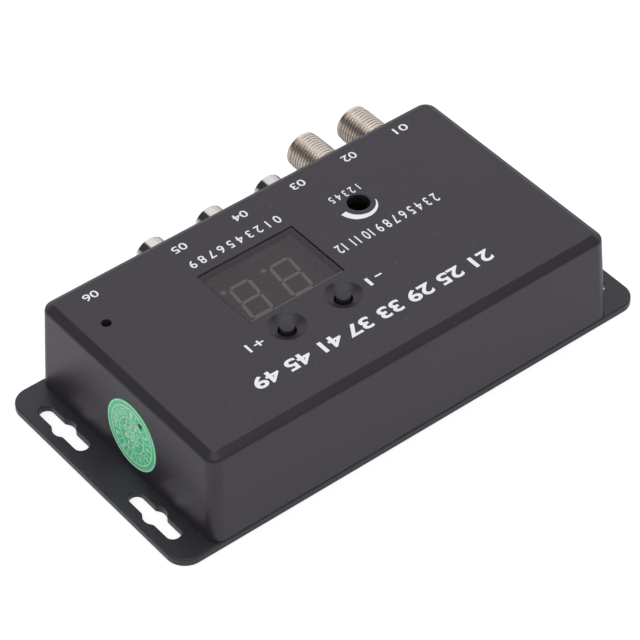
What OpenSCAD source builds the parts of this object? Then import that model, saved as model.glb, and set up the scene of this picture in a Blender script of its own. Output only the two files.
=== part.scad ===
// Small radio frequency modulator: a moulded case on a flanged base plate.
// Millimetres. X runs along the case, -Y is the socket side, +Z is up.
// The origin is the middle of the base plate's underside.

/* [Base plate] */
// Length of each flange beyond the housing
flange_len = 9.3; // [8:0.1:20]
// How far the plate stands out beyond the housing's long sides
plate_margin = 0.1; // [0.05:0.05:3]
// Thickness of the plate
plate_t = 2; // [1.9:0.1:2.6]
// Radius of the plate's four corners
plate_corner_r = 5; // [2:0.5:8]
// Width of each fixing slot
slot_wid = 3.6; // [3:0.1:4.4]
// Length of each fixing slot, end to end
slot_len = 17.3; // [13:0.1:20]
// Diameter of the round bulge in the middle of each slot
slot_bulge_d = 5.5; // [4.8:0.1:6]
// Radius that blends the bulge into the slot
slot_blend_r = 1; // [0.5:0.1:1.5]
// Distance from the plate's end to the middle line of its slots
slot_inset = 4.8; // [4:0.1:5.6]
// Distance between the two slots of one flange
slot_spacing = 34.7; // [28:0.1:42]
// Thickness of the ribs that locate the housing
rib_t = 1.2; // [0.8:0.1:2]
// Height of the locating ribs above the plate
rib_h = 2; // [1:0.1:3]
// Gap between a locating rib and the housing wall
rib_gap = 0.2; // [0.1:0.05:0.5]

/* [Housing] */
// Length of the housing at the seam
housing_len = 115.7; // [115:0.1:118]
// Width of the housing at the seam
housing_wid = 66.6; // [65:0.1:66.7]
// Gap between the phono sockets' bodies and the roof
socket_roof_gap = 2.2; // [1.8:0.1:5]
// Inward lean of each side from the seam to the rim
draft = 1.15; // [0.5:0.05:1.6]
// Width of the chamfer round the roof
chamfer_wid = 2.1; // [1:0.1:3]
// Height of the chamfer round the roof
chamfer_h = 1.5; // [0.8:0.1:2.2]
// Radius of the upright corners
housing_corner_r = 3.2; // [2.4:0.1:5]
// Corner radius of the flat roof
crown_corner_r = 1.1; // [0.5:0.1:2]
// Thickness of the side walls
wall_t = 2.4; // [1.8:0.1:2.6]
// Thickness of the roof
roof_t = 2.4; // [2.1:0.1:2.8]
// Inner corner radius of the walls
cavity_corner_r = 1.2; // [0.6:0.1:2]

/* [Screw pillars] */
// Diameter of the four pillars that take the housing screws
pillar_d = 5.6; // [5:0.1:5.8]
// Distance of a housing pillar's axis from the inner face of the end wall
pillar_wall_gap = 2.2; // [1.8:0.1:2.3]
// Distance of the housing pillars from the middle line of the case
pillar_y = 22.5; // [22:0.1:22.7]
// Diameter of the three pillars that carry the circuit board
board_pillar_d = 5; // [4:0.1:5.6]
// Thickness of the webs that brace the pillars
web_t = 1.2; // [0.8:0.1:1.6]
// Depth of the webs below the roof
web_h = 6; // [3:0.5:8]

/* [Screws] */
// Outer diameter of a housing screw's thread
screw_d = 3; // [2.5:0.1:3.4]
// Length of a housing screw, head included
screw_len = 12; // [8:0.5:14]
// Diameter of the countersunk head
screw_head_d = 5.6; // [5:0.1:6]
// Height of the countersunk head
screw_head_h = 1.5; // [1.2:0.1:1.6]
// Outer diameter of a board screw's thread
board_screw_d = 2.2; // [2:0.1:2.6]
// Length of a board screw under its head
board_screw_len = 7; // [5:0.5:9]
// Diameter of the round head of a board screw
board_screw_head_d = 4; // [3.6:0.1:4.6]
// Height of the round head of a board screw
board_screw_head_h = 1.5; // [1:0.1:1.8]
// Gap round a screw's thread in the pillar that it cuts into
thread_gap = 0.02; // [0.01:0.01:0.05]
// Gap round a screw in the plate or the board
screw_gap = 0.2; // [0.1:0.05:0.3]

/* [Display window] */
// Middle of the window along the case
window_x = 10.7; // [9:0.1:12]
// Middle of the window across the case
window_y = -6.5; // [-7:0.1:-6]
// Length of the window pocket
window_len = 27.2; // [26:0.1:29]
// Width of the window pocket
window_wid = 19.4; // [18:0.1:20]
// Width of the ledge that the pane lies on
window_ledge = 1.1; // [0.8:0.1:1.4]
// Thickness of the pane
pane_t = 1.2; // [0.8:0.1:1.4]
// Depth of the pane's face below the roof
pane_recess = 0.15; // [0.05:0.05:0.3]
// Gap between the pane and its pocket
pane_gap = 0.18; // [0.05:0.01:0.2]
// Share of the gap by which the pane lies towards the buttons and the light
pane_shift_share = 0.8; // [0:0.1:0.9]
// Thickness of the adhesive frame under the pane
tape_t = 0.15; // [0.1:0.05:0.2]

/* [Display] */
// Length of the two digit display
display_len = 25.1; // [24.5:0.1:26]
// Width of the display
display_wid = 17.8; // [17.5:0.1:18.2]
// Thickness of the display
display_t = 8; // [7:0.1:8.5]
// Depth of the display's face below the roof
display_depth = 4.4; // [3:0.1:5]
// Height of a digit over its segments
digit_h = 11.9; // [11:0.1:12.7]
// Width of a digit over its segments
digit_wid = 6.3; // [5.6:0.1:7]
// Distance between the two digits
digit_spacing = 11.5; // [11:0.1:12.7]
// Lean of the digits
digit_slant = 7.5; // [0:0.5:10]
// Width of a lit segment
segment_wid = 0.9; // [0.7:0.1:1.2]
// Gap between two segments of a digit
segment_gap = 0.25; // [0.15:0.05:0.4]
// Depth of the light pipes that form the segments
segment_depth = 1; // [0.5:0.1:2]
// Diameter of a decimal point
point_d = 1.3; // [1:0.1:1.5]
// Distance between neighbouring display pins
pin_spacing = 2.54; // [2:0.01:2.54]
// Distance between the two rows of display pins
pin_row_spacing = 12.7; // [10:0.1:13]
// Diameter of a display pin
display_pin_d = 0.5; // [0.4:0.05:0.7]
// Width of the socket strips under the display
socket_strip_wid = 2.5; // [2:0.1:3]

/* [Channel buttons] */
// Place of the upward button along the case
button_up_x = 18.4; // [17.5:0.1:19]
// Place of the downward button along the case
button_down_x = 2.4; // [2:0.1:3]
// Place of both buttons across the case
button_y = 9.4; // [9.3:0.1:10.5]
// Diameter of the dished well round a button at the roof
dish_d = 9.2; // [8:0.1:10]
// Depth of the dish, as if it ran on over the button's hole
dish_depth = 1.6; // [1:0.1:1.8]
// Diameter of the hole in the bottom of the dish
button_hole_d = 4.4; // [4.1:0.1:5]
// Diameter of the button's stem
button_d = 3.5; // [3:0.1:3.7]
// Width of the rounding chamfer on the button's tip
button_tip_chamfer = 0.3; // [0.1:0.05:0.5]
// Side of the square switch under each button
switch_side = 6; // [5.8:0.1:6.4]
// Height of the switch's moulded tray
switch_h = 2.9; // [2.6:0.1:3.4]
// Thickness of the tray's floor
switch_floor_t = 0.6; // [0.4:0.1:0.8]
// Thickness of the switch's metal cover
switch_cover_t = 0.3; // [0.2:0.05:0.4]
// Diameter of the well inside the switch's tray
switch_well_d = 5; // [4.8:0.1:5.2]
// Diameter of the button's foot under the cover
button_foot_d = 4.5; // [4.2:0.1:4.6]
// Height of the button's foot
button_foot_h = 1; // [0.7:0.1:1.2]
// Thickness of the snap dome
dome_t = 0.1; // [0.08:0.01:0.12]
// Diameter of the snap dome
dome_d = 4.4; // [4:0.1:4.6]
// Gap between the button's foot and the parts above and below it
button_play = 0.04; // [0.02:0.01:0.1]
// Travel of a button
button_travel = 0.25; // [0.15:0.05:0.3]

/* [Level trimmer] */
// Place of the trimmer along the case
trimmer_x = -19.8; // [-19.9:0.1:-19.5]
// Place of the trimmer across the case
trimmer_y = -12.7; // [-13:0.1:-12]
// Diameter of the access hole in the roof
trimmer_hole_d = 5.6; // [5:0.1:6]
// Side of the trimmer's square base
trimmer_side = 6; // [5.8:0.1:6.2]
// Height of the trimmer's base
trimmer_h = 2.6; // [2.2:0.1:3.2]
// Diameter of the trimmer's rotor
rotor_d = 5; // [4.6:0.1:5.2]
// Height of the rotor above its seat
rotor_h = 1.8; // [1.5:0.1:2.4]
// Diameter of the rotor's spindle
spindle_d = 1.6; // [1.2:0.1:2]
// Running gap round the spindle
spindle_gap = 0.04; // [0.02:0.01:0.06]
// Gap between the rotor and its seat
rotor_gap = 0.05; // [0.03:0.01:0.1]
// Width of the screwdriver slots in the rotor
driver_slot_wid = 0.8; // [0.6:0.1:1]
// Depth of the screwdriver slots in the rotor
driver_slot_depth = 0.9; // [0.6:0.1:1.1]
// Length of the screwdriver slots as a share of the rotor's diameter
driver_slot_share = 0.7; // [0.5:0.05:0.8]

/* [Circuit board] */
// Height of the board's underside above the base
board_z = 7.9; // [7:0.1:8.2]
// Thickness of the board
board_t = 1.6; // [1.4:0.1:2]
// Gap between the board's edge and the walls
board_gap = 1; // [0.6:0.1:1.4]
// Gap between the board and the housing pillars
board_notch_gap = 0.6; // [0.4:0.1:1]

/* [Aerial sockets] */
// Place of the aerial input along the case
rf_in_x = -43.8; // [-43.9:0.1:-43.4]
// Place of the aerial output along the case
rf_out_x = -28.5; // [-28.9:0.1:-28.4]
// Height of every round socket's axis above the board
socket_axis_h = 7.5; // [7:0.1:7.8]
// Outer diameter of the threaded barrels
barrel_d = 9.52; // [9.3:0.01:9.7]
// Diameter of the plain neck between a barrel's flange and its thread
barrel_neck_d = 9; // [8.6:0.1:9.2]
// Reach of the barrels beyond the housing wall
barrel_reach = 12.8; // [8:0.1:15]
// Length of plain neck between the wall and the thread
barrel_relief = 0.5; // [0.4:0.1:0.7]
// Bore of the barrels
barrel_bore_d = 6.6; // [6:0.1:7.2]
// Diameter of the flange that seats each barrel on the screening can
barrel_flange_d = 11; // [10.4:0.1:11.6]
// Thickness of that flange
barrel_flange_t = 1.2; // [0.8:0.1:1.5]
// Chamfer at the barrel's mouth
barrel_chamfer = 0.4; // [0.2:0.1:0.8]
// Depth of the insulator's face inside the barrel's mouth
dielectric_recess = 0.5; // [0.3:0.1:1.5]
// Diameter of the hole that takes the cable's inner wire
wire_hole_d = 1.2; // [1:0.1:1.4]
// Outer diameter of the clip that grips the inner wire
wire_clip_d = 2.2; // [2:0.1:2.6]
// Thickness of the insulator in front of the clip
wire_lip_t = 0.8; // [0.5:0.1:1.2]
// Gap round a barrel or collar in the housing wall
socket_hole_gap = 0.3; // [0.2:0.05:0.4]
// Gap between the parts that are pushed into one another in a socket
press_gap = 0.01; // [0.01:0.01:0.02]
// Diameter of the tails that run from the sockets to the board
tail_d = 0.8; // [0.6:0.1:1]

/* [Screening can] */
// Length of the can along the case
can_len = 25.2; // [25:0.1:25.4]
// Depth of the can from front to back
can_depth = 33; // [28:0.5:38]
// Gap between the can's lid and the roof
can_roof_gap = 1; // [0.8:0.1:2]
// Thickness of the can's sheet metal
can_t = 0.4; // [0.3:0.05:0.5]
// Depth of the lid's folded skirt
lid_skirt = 3; // [2:0.1:4]
// Gap between the lid's skirt and the can
lid_gap = 0.03; // [0.02:0.01:0.05]

/* [Phono sockets] */
// Place of the video socket along the case
video_x = -12.9; // [-13:0.1:-12.7]
// Place of the left sound socket along the case
left_x = 4.4; // [4:0.1:4.8]
// Place of the right sound socket along the case
right_x = 21.5; // [21:0.1:22]
// Width of a phono socket's moulded body
jack_wid = 10.6; // [10.4:0.1:11]
// Height of the body above the socket's axis
jack_top_h = 5.3; // [5.25:0.05:5.5]
// Depth of the body behind its front face
jack_depth = 12; // [10:0.1:12.4]
// Chamfer on the body's upper edges
jack_chamfer = 1.5; // [0.5:0.1:2]
// Diameter of the collar that passes through the wall
collar_d = 10.2; // [9.6:0.1:10.4]
// How far the collar stands out of the wall
collar_proud = 0.4; // [0.1:0.1:0.8]
// Outer diameter of the metal sleeve
sleeve_d = 8.3; // [8.1:0.1:8.5]
// Thickness of the metal sleeve
sleeve_t = 0.3; // [0.2:0.05:0.4]
// Reach of the sleeve beyond the housing wall
sleeve_reach = 6.3; // [5:0.1:9]
// Depth of the insulator's face inside the sleeve
core_recess = 0.5; // [0.3:0.1:1]
// Diameter of the hole for the plug's centre pin
pin_hole_d = 3.4; // [3.3:0.05:3.6]
// Outer diameter of the centre contact
contact_d = 4.2; // [4:0.1:4.4]
// Length of the centre contact's tube
contact_len = 9; // [7:0.1:10]
// Thickness of the insulator in front of the centre contact
core_lip_t = 1; // [0.6:0.1:1.4]
// Width of the slits in the centre contact
slit_wid = 0.3; // [0.2:0.05:0.4]
// Gap between a socket's body and the wall in front of it
jack_wall_gap = 0.3; // [0.2:0.05:0.4]

/* [Power socket] */
// Place of the power socket along the case
usb_x = 46.5; // [45.5:0.1:46.8]
// Width of the socket's metal shell
usb_wid = 7.5; // [7.3:0.1:7.7]
// Height of the socket's metal shell
usb_h = 2.9; // [2.7:0.1:3.1]
// Length of the shell
usb_len = 5.3; // [5:0.1:5.6]
// Thickness of the shell
usb_t = 0.25; // [0.2:0.05:0.3]
// Width of the bevel on the shell's lower corners
usb_bevel = 0.9; // [0.6:0.1:1.1]
// Width of the opening in the wall for the plug
usb_port_wid = 11.4; // [10.6:0.1:11.6]
// Height of the opening in the wall for the plug
usb_port_h = 7.2; // [6.8:0.1:7.4]
// Corner radius of that opening
usb_port_r = 2; // [1:0.1:2.4]
// How far the shell's mouth lies inside the wall's thickness
usb_in_wall = 0.6; // [0.4:0.1:1]

/* [Power light] */
// Place of the light along the case
light_x = 48.9; // [48:0.1:49.2]
// Place of the light across the case
light_y = -16.9; // [-17.2:0.1:-16.4]
// Diameter of the hole over the light
light_hole_d = 2.4; // [2:0.1:2.8]
// Diameter of the light's lens
lens_d = 3; // [2.9:0.1:3.2]
// Height of the lens with its flange
lens_h = 5.3; // [4.8:0.1:5.6]
// Gap between the lens and the roof
lens_gap = 0.3; // [0.2:0.05:0.4]

/* [Parts on the board] */
// Distance between neighbouring leads of a chip
lead_spacing = 1.27; // [1:0.01:1.27]
// Width of the controller chip's body
controller_wid = 7.5; // [7:0.1:8]
// Width of the modulator chip's body
modulator_wid = 3.9; // [3.5:0.1:5]
// Height of both chips' bodies
chip_h = 2.2; // [1.6:0.1:2.6]
// Reach of a chip's leads from its body
lead_reach = 1.3; // [1:0.1:1.6]
// Thickness of a chip's leads
lead_t = 0.25; // [0.2:0.05:0.35]
// Width of a chip's leads
lead_wid = 0.42; // [0.35:0.01:0.5]
// Length of the crystal's can
crystal_len = 11; // [10:0.1:11.5]
// Width of the crystal's can
crystal_wid = 4.6; // [4:0.1:4.8]
// Height of the crystal's can
crystal_h = 3.6; // [3:0.1:4.2]
// Length of the voltage regulator's body
regulator_len = 6.5; // [6:0.1:6.8]
// Width of the voltage regulator's body
regulator_wid = 3.5; // [3:0.1:3.8]
// Height of the voltage regulator's body
regulator_h = 1.7; // [1.4:0.1:2]
// Diameter of the upright capacitors
capacitor_d = 6.3; // [5:0.1:6.5]
// Height of the upright capacitors
capacitor_h = 11; // [7:0.5:12]
// Length of a chip resistor
resistor_len = 2; // [1.6:0.1:2.2]
// Width of a chip resistor
resistor_wid = 1.25; // [0.8:0.05:1.4]
// Height of a chip resistor
resistor_h = 0.5; // [0.4:0.05:0.6]

/* [Round sticker] */
// Diameter of the sticker on the end wall
sticker_d = 18; // [15:0.1:19]
// Thickness of the sticker
sticker_t = 0.15; // [0.1:0.05:0.2]
// Middle of the sticker across the end wall
sticker_y = 3.1; // [-5:0.1:8]
// Height of the sticker's middle above the base
sticker_z = 12.5; // [12:0.1:14]

/* [Hidden] */

// Overrun of every cut
over = 0.5;
// Facets of true round forms, and steps round a lofted corner
round_fn = 48;
corner_steps = 6;

plate_len = housing_len + 2 * flange_len;
plate_wid = housing_wid + 2 * plate_margin;
board_top = board_z + board_t;
axis_z = board_top + socket_axis_h;
jack_top_z = axis_z + jack_top_h;
ceiling_z = jack_top_z + socket_roof_gap;
// Height of the whole case over its base, and of the chamfer's lower edge
case_h = ceiling_z + roof_t;
rim_z = case_h - chamfer_h;
slot_x = plate_len / 2 - slot_inset;

// Inset of the leaning outer face at a height, against the seam
function lean(z) = draft * (z - plate_t) / (rim_z - plate_t);
// Outer and inner faces of the front wall, and the inner face of the end walls, at a height
function front_y(z) = lean(z) - housing_wid / 2;
function front_in_y(z) = front_y(z) + wall_t;
function end_in_x(z) = housing_len / 2 - lean(z) - wall_t;

pillar_x = end_in_x(ceiling_z) - pillar_wall_gap;
board_half_len = end_in_x(board_top) - board_gap;
board_half_wid = -front_in_y(board_top) - board_gap;
// Places of the board's pillars, as shares of the board's half length and half width
board_pillar_shares = [[-0.70, 0.80], [0.70, 0.80], [0.63, -0.73]];
board_pillars = [for (p = board_pillar_shares) [p.x * board_half_len, p.y * board_half_wid]];
// How much a 45 degree corner shortens as its outline is drawn in
mitre_share = 2 - sqrt(2);

jack_front_y = front_in_y(jack_top_z) + jack_wall_gap;
collar_len = jack_front_y - front_y(axis_z) + collar_proud;
sleeve_end = jack_front_y - front_y(axis_z) + sleeve_reach;
core_r = sleeve_d / 2 - sleeve_t - press_gap;
core_end = sleeve_end - core_recess;
contact_front = core_end - core_lip_t;

barrel_front_y = front_in_y(axis_z + barrel_flange_d / 2) + jack_wall_gap;
barrel_seat_y = barrel_front_y + barrel_flange_t;
barrel_end = barrel_front_y - front_y(axis_z) + barrel_reach;
dielectric_r = barrel_bore_d / 2 - press_gap;
can_x = (rf_in_x + rf_out_x) / 2;
can_y = barrel_seat_y + can_depth / 2;
can_lid_z = ceiling_z - can_roof_gap - can_t;
can_h = can_lid_z - board_top;

usb_mouth_y = front_in_y(board_top + usb_h / 2) - usb_in_wall;
usb_mid_z = board_top + usb_h / 2;

pane_shift = pane_gap * pane_shift_share;
display_face_z = case_h - display_depth;
display_under_z = display_face_z - display_t;
button_tip_z = case_h;
cover_z = board_top + switch_h;
// The snap dome is as high as the button's travel and its own flattened thickness
dome_rise = button_travel + 2 * dome_t;
dome_top_z = board_top + switch_floor_t + dome_rise;
lens_base_z = ceiling_z - lens_gap - lens_h;

// Places of the parts on the board, as shares of the board's half length and half width
controller_share = [0.10, 0.70];
crystal_share = [0.42, 0.72];
regulator_share = [0.80, 0.10];
capacitor_shares = [[0.56, -0.30], [0.56, 0.06], [0.72, -0.30]];
resistor_shares = [[-0.30, 0.30], [-0.24, 0.30], [-0.18, 0.30], [-0.30, 0.50], [-0.24, 0.50],
    [-0.18, 0.50], [0.48, 0.30], [0.54, 0.30], [0.60, 0.30], [0.66, 0.30]];
// Leads on each side of the two chips
controller_leads = 14;
modulator_leads = 8;
modulator_y = can_y + can_depth / 6;
// Length, width and depth of a screw's cross recess as shares of its head
recess_len_share = 0.6;
recess_wid_share = 0.15;
recess_depth_share = 0.6;

function board_place(share) = [share.x * board_half_len, share.y * board_half_wid, board_top];

// A closed loop of points round a rectangle with round corners, at a height
function rounded_loop(len, wid, r, z) = [for (q = [0:3]) for (s = [0:corner_steps])
    let (a = 90 * (q + s / corner_steps), sx = (q == 0 || q == 3) ? 1 : -1, sy = q < 2 ? 1 : -1)
    [sx * (len / 2 - r) + r * cos(a), sy * (wid / 2 - r) + r * sin(a), z]];

// A solid skinned over loops that have the same number of points, from the bottom up
module loft(loops) {
    n = len(loops[0]);
    top = (len(loops) - 1) * n;
    polyhedron(points = [for (l = loops) each l], faces = concat(
        [[for (i = [0:n - 1]) i]],
        [for (k = [0:len(loops) - 2]) for (i = [0:n - 1]) let (j = (i + 1) % n)
            [k * n + i, (k + 1) * n + i, (k + 1) * n + j, k * n + j]],
        [[for (i = [n - 1:-1:0]) top + i]]));
}

// A flat rectangle with true round corners
module rounded_rect(len, wid, r) {
    square([len - 2 * r, wid], center = true);
    square([len, wid - 2 * r], center = true);
    for (sx = [-1, 1], sy = [-1, 1])
        translate([sx * (len / 2 - r), sy * (wid / 2 - r)]) circle(r, $fn = round_fn);
}

module rod(d, h) cylinder(d = d, h = h, $fn = round_fn);

module tube(outer_d, inner_d, h) difference() {
    rod(outer_d, h);
    translate([0, 0, -over]) rod(inner_d, h + 2 * over);
}

// A bar of given size that stands on the height z, centred on x and y
module block(x, y, z, size) translate([x - size.x / 2, y - size.y / 2, z]) cube(size);

// Turns a form that stands on Z so that it points out of the front wall
module facing_front(x, y, z) translate([x, y, z]) rotate([90, 0, 0]) children();

// Every place of the housing screws
module at_housing_screws() for (sx = [-1, 1], sy = [-1, 1])
    translate([sx * pillar_x, sy * pillar_y, 0]) children();

module at_board_screws() for (p = board_pillars) translate([p.x, p.y, 0]) children();

// A fixing slot along Y with a round bulge, blended with small fillets
module slot_outline() {
    half = slot_wid / 2;
    bulge_r = slot_bulge_d / 2;
    reach = sqrt(pow(bulge_r + slot_blend_r, 2) - pow(half + slot_blend_r, 2));
    square([slot_wid, slot_len - slot_wid], center = true);
    for (s = [-1, 1]) translate([0, s * (slot_len / 2 - half)]) circle(half, $fn = round_fn);
    circle(bulge_r, $fn = round_fn);
    for (sx = [0, 1], sy = [0, 1]) mirror([sx, 0]) mirror([0, sy]) difference() {
        polygon([[0, 0], [half + slot_blend_r, reach], [0, reach]]);
        translate([half + slot_blend_r, reach]) circle(slot_blend_r, $fn = round_fn);
    }
}

// The leaning, chamfered outside of the housing
module housing_outside() loft([
    rounded_loop(housing_len, housing_wid, housing_corner_r, plate_t),
    rounded_loop(housing_len - 2 * draft, housing_wid - 2 * draft, housing_corner_r, rim_z),
    rounded_loop(housing_len - 2 * (draft + chamfer_wid), housing_wid - 2 * (draft + chamfer_wid),
        crown_corner_r, case_h)]);

module housing_cavity() {
    low = plate_t - over;
    loft([for (z = [low, ceiling_z])
        rounded_loop(2 * end_in_x(z), -2 * front_in_y(z), cavity_corner_r, z)]);
}

// Pillars under the roof, braced by webs that end short of the screws
module housing_pillars() {
    overlap = roof_t / 2;
    at_housing_screws() translate([0, 0, plate_t]) rod(pillar_d, ceiling_z - plate_t + overlap);
    at_board_screws() translate([0, 0, board_top])
        rod(board_pillar_d, ceiling_z - board_top + overlap);
    for (sx = [-1, 1], sy = [-1, 1]) {
        reach = end_in_x(ceiling_z) - pillar_x + wall_t / 2;
        block(sx * (pillar_x + reach / 2), sy * pillar_y, ceiling_z - web_h,
            [reach, web_t, web_h + overlap]);
    }
    for (p = board_pillars) {
        block(p.x, p.y, ceiling_z - web_h / 2, [2 * board_pillar_d, web_t, web_h / 2 + overlap]);
        block(p.x, p.y, ceiling_z - web_h / 2, [web_t, 2 * board_pillar_d, web_h / 2 + overlap]);
    }
}

// A well like a shallow bowl, with the hole for a button's stem
module button_well(x) {
    ball_r = (pow(dish_d / 2, 2) + pow(dish_depth, 2)) / (2 * dish_depth);
    translate([x, button_y, case_h - dish_depth + ball_r]) sphere(ball_r, $fn = 2 * round_fn);
    translate([x, button_y, ceiling_z - over]) rod(button_hole_d, roof_t + over);
}

module window_cut() translate([window_x, window_y, 0]) {
    pocket = pane_recess + pane_t + tape_t;
    block(0, 0, case_h - pocket, [window_len, window_wid, pocket + over]);
    block(0, 0, ceiling_z - over,
        [window_len - 2 * window_ledge, window_wid - 2 * window_ledge, roof_t + over]);
}

// Openings in the front wall for the sockets
module socket_cuts() {
    depth = wall_t + draft + 2 * over;
    for (x = [rf_in_x, rf_out_x]) facing_front(x, front_in_y(axis_z) + over, axis_z)
        rod(barrel_d + 2 * socket_hole_gap, depth);
    for (x = [video_x, left_x, right_x]) facing_front(x, front_in_y(axis_z) + over, axis_z)
        rod(collar_d + 2 * socket_hole_gap, depth);
    facing_front(usb_x, front_in_y(usb_mid_z) + over, usb_mid_z) linear_extrude(depth)
        rounded_rect(usb_port_wid, usb_port_h, usb_port_r);
}

module top_housing() color([0.22, 0.21, 0.23]) difference() {
    union() {
        difference() {
            housing_outside();
            housing_cavity();
        }
        housing_pillars();
    }
    window_cut();
    for (x = [button_up_x, button_down_x]) button_well(x);
    translate([trimmer_x, trimmer_y, ceiling_z - over]) rod(trimmer_hole_d, roof_t + 2 * over);
    translate([light_x, light_y, ceiling_z - over]) rod(light_hole_d, roof_t + 2 * over);
    socket_cuts();
    at_housing_screws() translate([0, 0, plate_t - over])
        rod(screw_d + 2 * thread_gap, screw_len - plate_t + 2 * over);
    at_board_screws() translate([0, 0, board_top - over])
        rod(board_screw_d + 2 * thread_gap, board_screw_len - board_t + 2 * over);
}

// Straight ribs that stand just inside the housing walls and stop short of the pillars
module locating_ribs() {
    x_face = end_in_x(plate_t + rib_h) - rib_gap;
    y_face = -front_in_y(plate_t + rib_h) - rib_gap;
    x_run = 2 * (pillar_x - pillar_d);
    y_run = 2 * (pillar_y - pillar_d);
    for (s = [-1, 1]) {
        block(s * (x_face - rib_t / 2), 0, plate_t, [rib_t, y_run, rib_h]);
        block(0, s * (y_face - rib_t / 2), plate_t, [x_run, rib_t, rib_h]);
    }
}

module base_plate() color([0.18, 0.18, 0.19]) difference() {
    union() {
        linear_extrude(plate_t) rounded_rect(plate_len, plate_wid, plate_corner_r);
        locating_ribs();
    }
    for (sx = [-1, 1], sy = [-1, 1])
        translate([sx * slot_x, sy * slot_spacing / 2, -over])
            linear_extrude(plate_t + 2 * over) slot_outline();
    at_housing_screws() {
        translate([0, 0, -over]) rod(screw_d + 2 * screw_gap, plate_t + 2 * over);
        countersink(screw_gap);
    }
}

// The cone of a countersunk head, larger by a gap all round
module countersink(gap) {
    slope = (screw_head_d - screw_d) / 2 / screw_head_h;
    r = screw_head_d / 2 + gap;
    translate([0, 0, -over]) cylinder(r1 = r + over * slope, r2 = r - screw_head_h * slope,
        h = screw_head_h + over, $fn = round_fn);
}

// Two crossed grooves, cut into the head from below
module cross_recess(head_d, head_h) for (a = [0, 90]) rotate(a)
    block(0, 0, -over,
        [head_d * recess_len_share, head_d * recess_wid_share, head_h * recess_depth_share + over]);

module housing_screws() color("silver") at_housing_screws() difference() {
    union() {
        cylinder(d1 = screw_head_d, d2 = screw_d, h = screw_head_h, $fn = round_fn);
        rod(screw_d, screw_len);
    }
    cross_recess(screw_head_d, screw_head_h);
}

module board_screws() color("silver") at_board_screws()
    translate([0, 0, board_z - board_screw_head_h]) difference() {
        union() {
            rod(board_screw_head_d, board_screw_head_h);
            rod(board_screw_d, board_screw_head_h + board_screw_len);
        }
        cross_recess(board_screw_head_d, board_screw_head_h);
    }

module display_window() color([0.3, 0.28, 0.27, 0.5])
    block(window_x + pane_shift, window_y + pane_shift, case_h - pane_recess - pane_t,
        [window_len - 2 * pane_gap, window_wid - 2 * pane_gap, pane_t]);

module window_tape() color("black")
    translate([window_x + pane_shift, window_y + pane_shift, case_h - pane_recess - pane_t - tape_t])
        linear_extrude(tape_t) difference() {
            square([window_len - 2 * pane_gap, window_wid - 2 * pane_gap], center = true);
            square([window_len - 2 * window_ledge, window_wid - 2 * window_ledge], center = true);
        }

module circuit_board() color([0.1, 0.32, 0.2]) difference() {
    block(0, 0, board_z, [2 * board_half_len, 2 * board_half_wid, board_t]);
    at_housing_screws() translate([0, 0, board_z - over])
        rod(pillar_d + 2 * board_notch_gap, board_t + 2 * over);
    for (sx = [-1, 1], sy = [-1, 1]) {
        notch = pillar_d + 2 * board_notch_gap;
        block(sx * (pillar_x + notch / 2), sy * pillar_y, board_z - over,
            [notch, notch, board_t + 2 * over]);
    }
    at_board_screws() translate([0, 0, board_z - over])
        rod(board_screw_d + 2 * screw_gap, board_t + 2 * over);
}

// One segment: a bar with pointed ends along X
module segment_bar(len) {
    h = segment_wid / 2;
    polygon([[-len / 2, 0], [h - len / 2, h], [len / 2 - h, h], [len / 2, 0],
        [len / 2 - h, -h], [h - len / 2, -h]]);
}

// A leaning seven segment digit with its decimal point
module digit_outline() {
    w = digit_wid - segment_wid;
    h = (digit_h - segment_wid) / 2;
    lean_share = tan(digit_slant);
    multmatrix([[1, lean_share, 0, 0], [0, 1, 0, 0], [0, 0, 1, 0], [0, 0, 0, 1]]) {
        for (y = [-h, 0, h]) translate([0, y]) segment_bar(w - segment_gap);
        for (x = [-w / 2, w / 2], y = [-h / 2, h / 2])
            translate([x, y]) rotate(90) segment_bar(h - segment_gap);
    }
    translate([w / 2 - h * lean_share + segment_wid / 2 + point_d, -h])
        circle(d = point_d, $fn = round_fn);
}

module digits(depth) for (s = [-1, 1])
    translate([window_x + s * digit_spacing / 2, window_y, display_face_z - depth])
        linear_extrude(depth) digit_outline();

module display_module() color([0.16, 0.15, 0.15]) difference() {
    block(window_x, window_y, display_under_z, [display_len, display_wid, display_t]);
    translate([0, 0, over]) digits(segment_depth + over);
}

module display_segments() color([0.85, 0.82, 0.78]) digits(segment_depth);

// Five pin places in each of two rows
module at_display_pins() for (s = [-1, 1], i = [-2:2])
    translate([window_x + i * pin_spacing, window_y + s * pin_row_spacing / 2, 0]) children();

module display_pins() color("silver") at_display_pins()
    translate([0, 0, board_top]) rod(display_pin_d, display_under_z - board_top);

module display_sockets() color("black") difference() {
    for (s = [-1, 1]) block(window_x, window_y + s * pin_row_spacing / 2, board_top,
        [5 * pin_spacing, socket_strip_wid, display_under_z - board_top]);
    at_display_pins() translate([0, 0, board_top - over])
        rod(display_pin_d + 2 * press_gap, display_under_z - board_top + 2 * over);
}

// The long stem, with a foot under the switch's cover and a nub over its dome
module button(x) translate([x, button_y, 0]) {
    foot_top = cover_z - button_play;
    nub_z = dome_top_z + button_play;
    translate([0, 0, foot_top - button_foot_h]) rod(button_foot_d, button_foot_h);
    translate([0, 0, nub_z]) rod(button_d / 2, foot_top - button_foot_h - nub_z);
    translate([0, 0, foot_top]) rod(button_d, button_tip_z - button_tip_chamfer - foot_top);
    translate([0, 0, button_tip_z - button_tip_chamfer])
        cylinder(d1 = button_d, d2 = button_d - 2 * button_tip_chamfer, h = button_tip_chamfer,
            $fn = round_fn);
}

module channel_up_button() color([0.2, 0.19, 0.21]) button(button_up_x);
module channel_down_button() color([0.2, 0.19, 0.21]) button(button_down_x);

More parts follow.
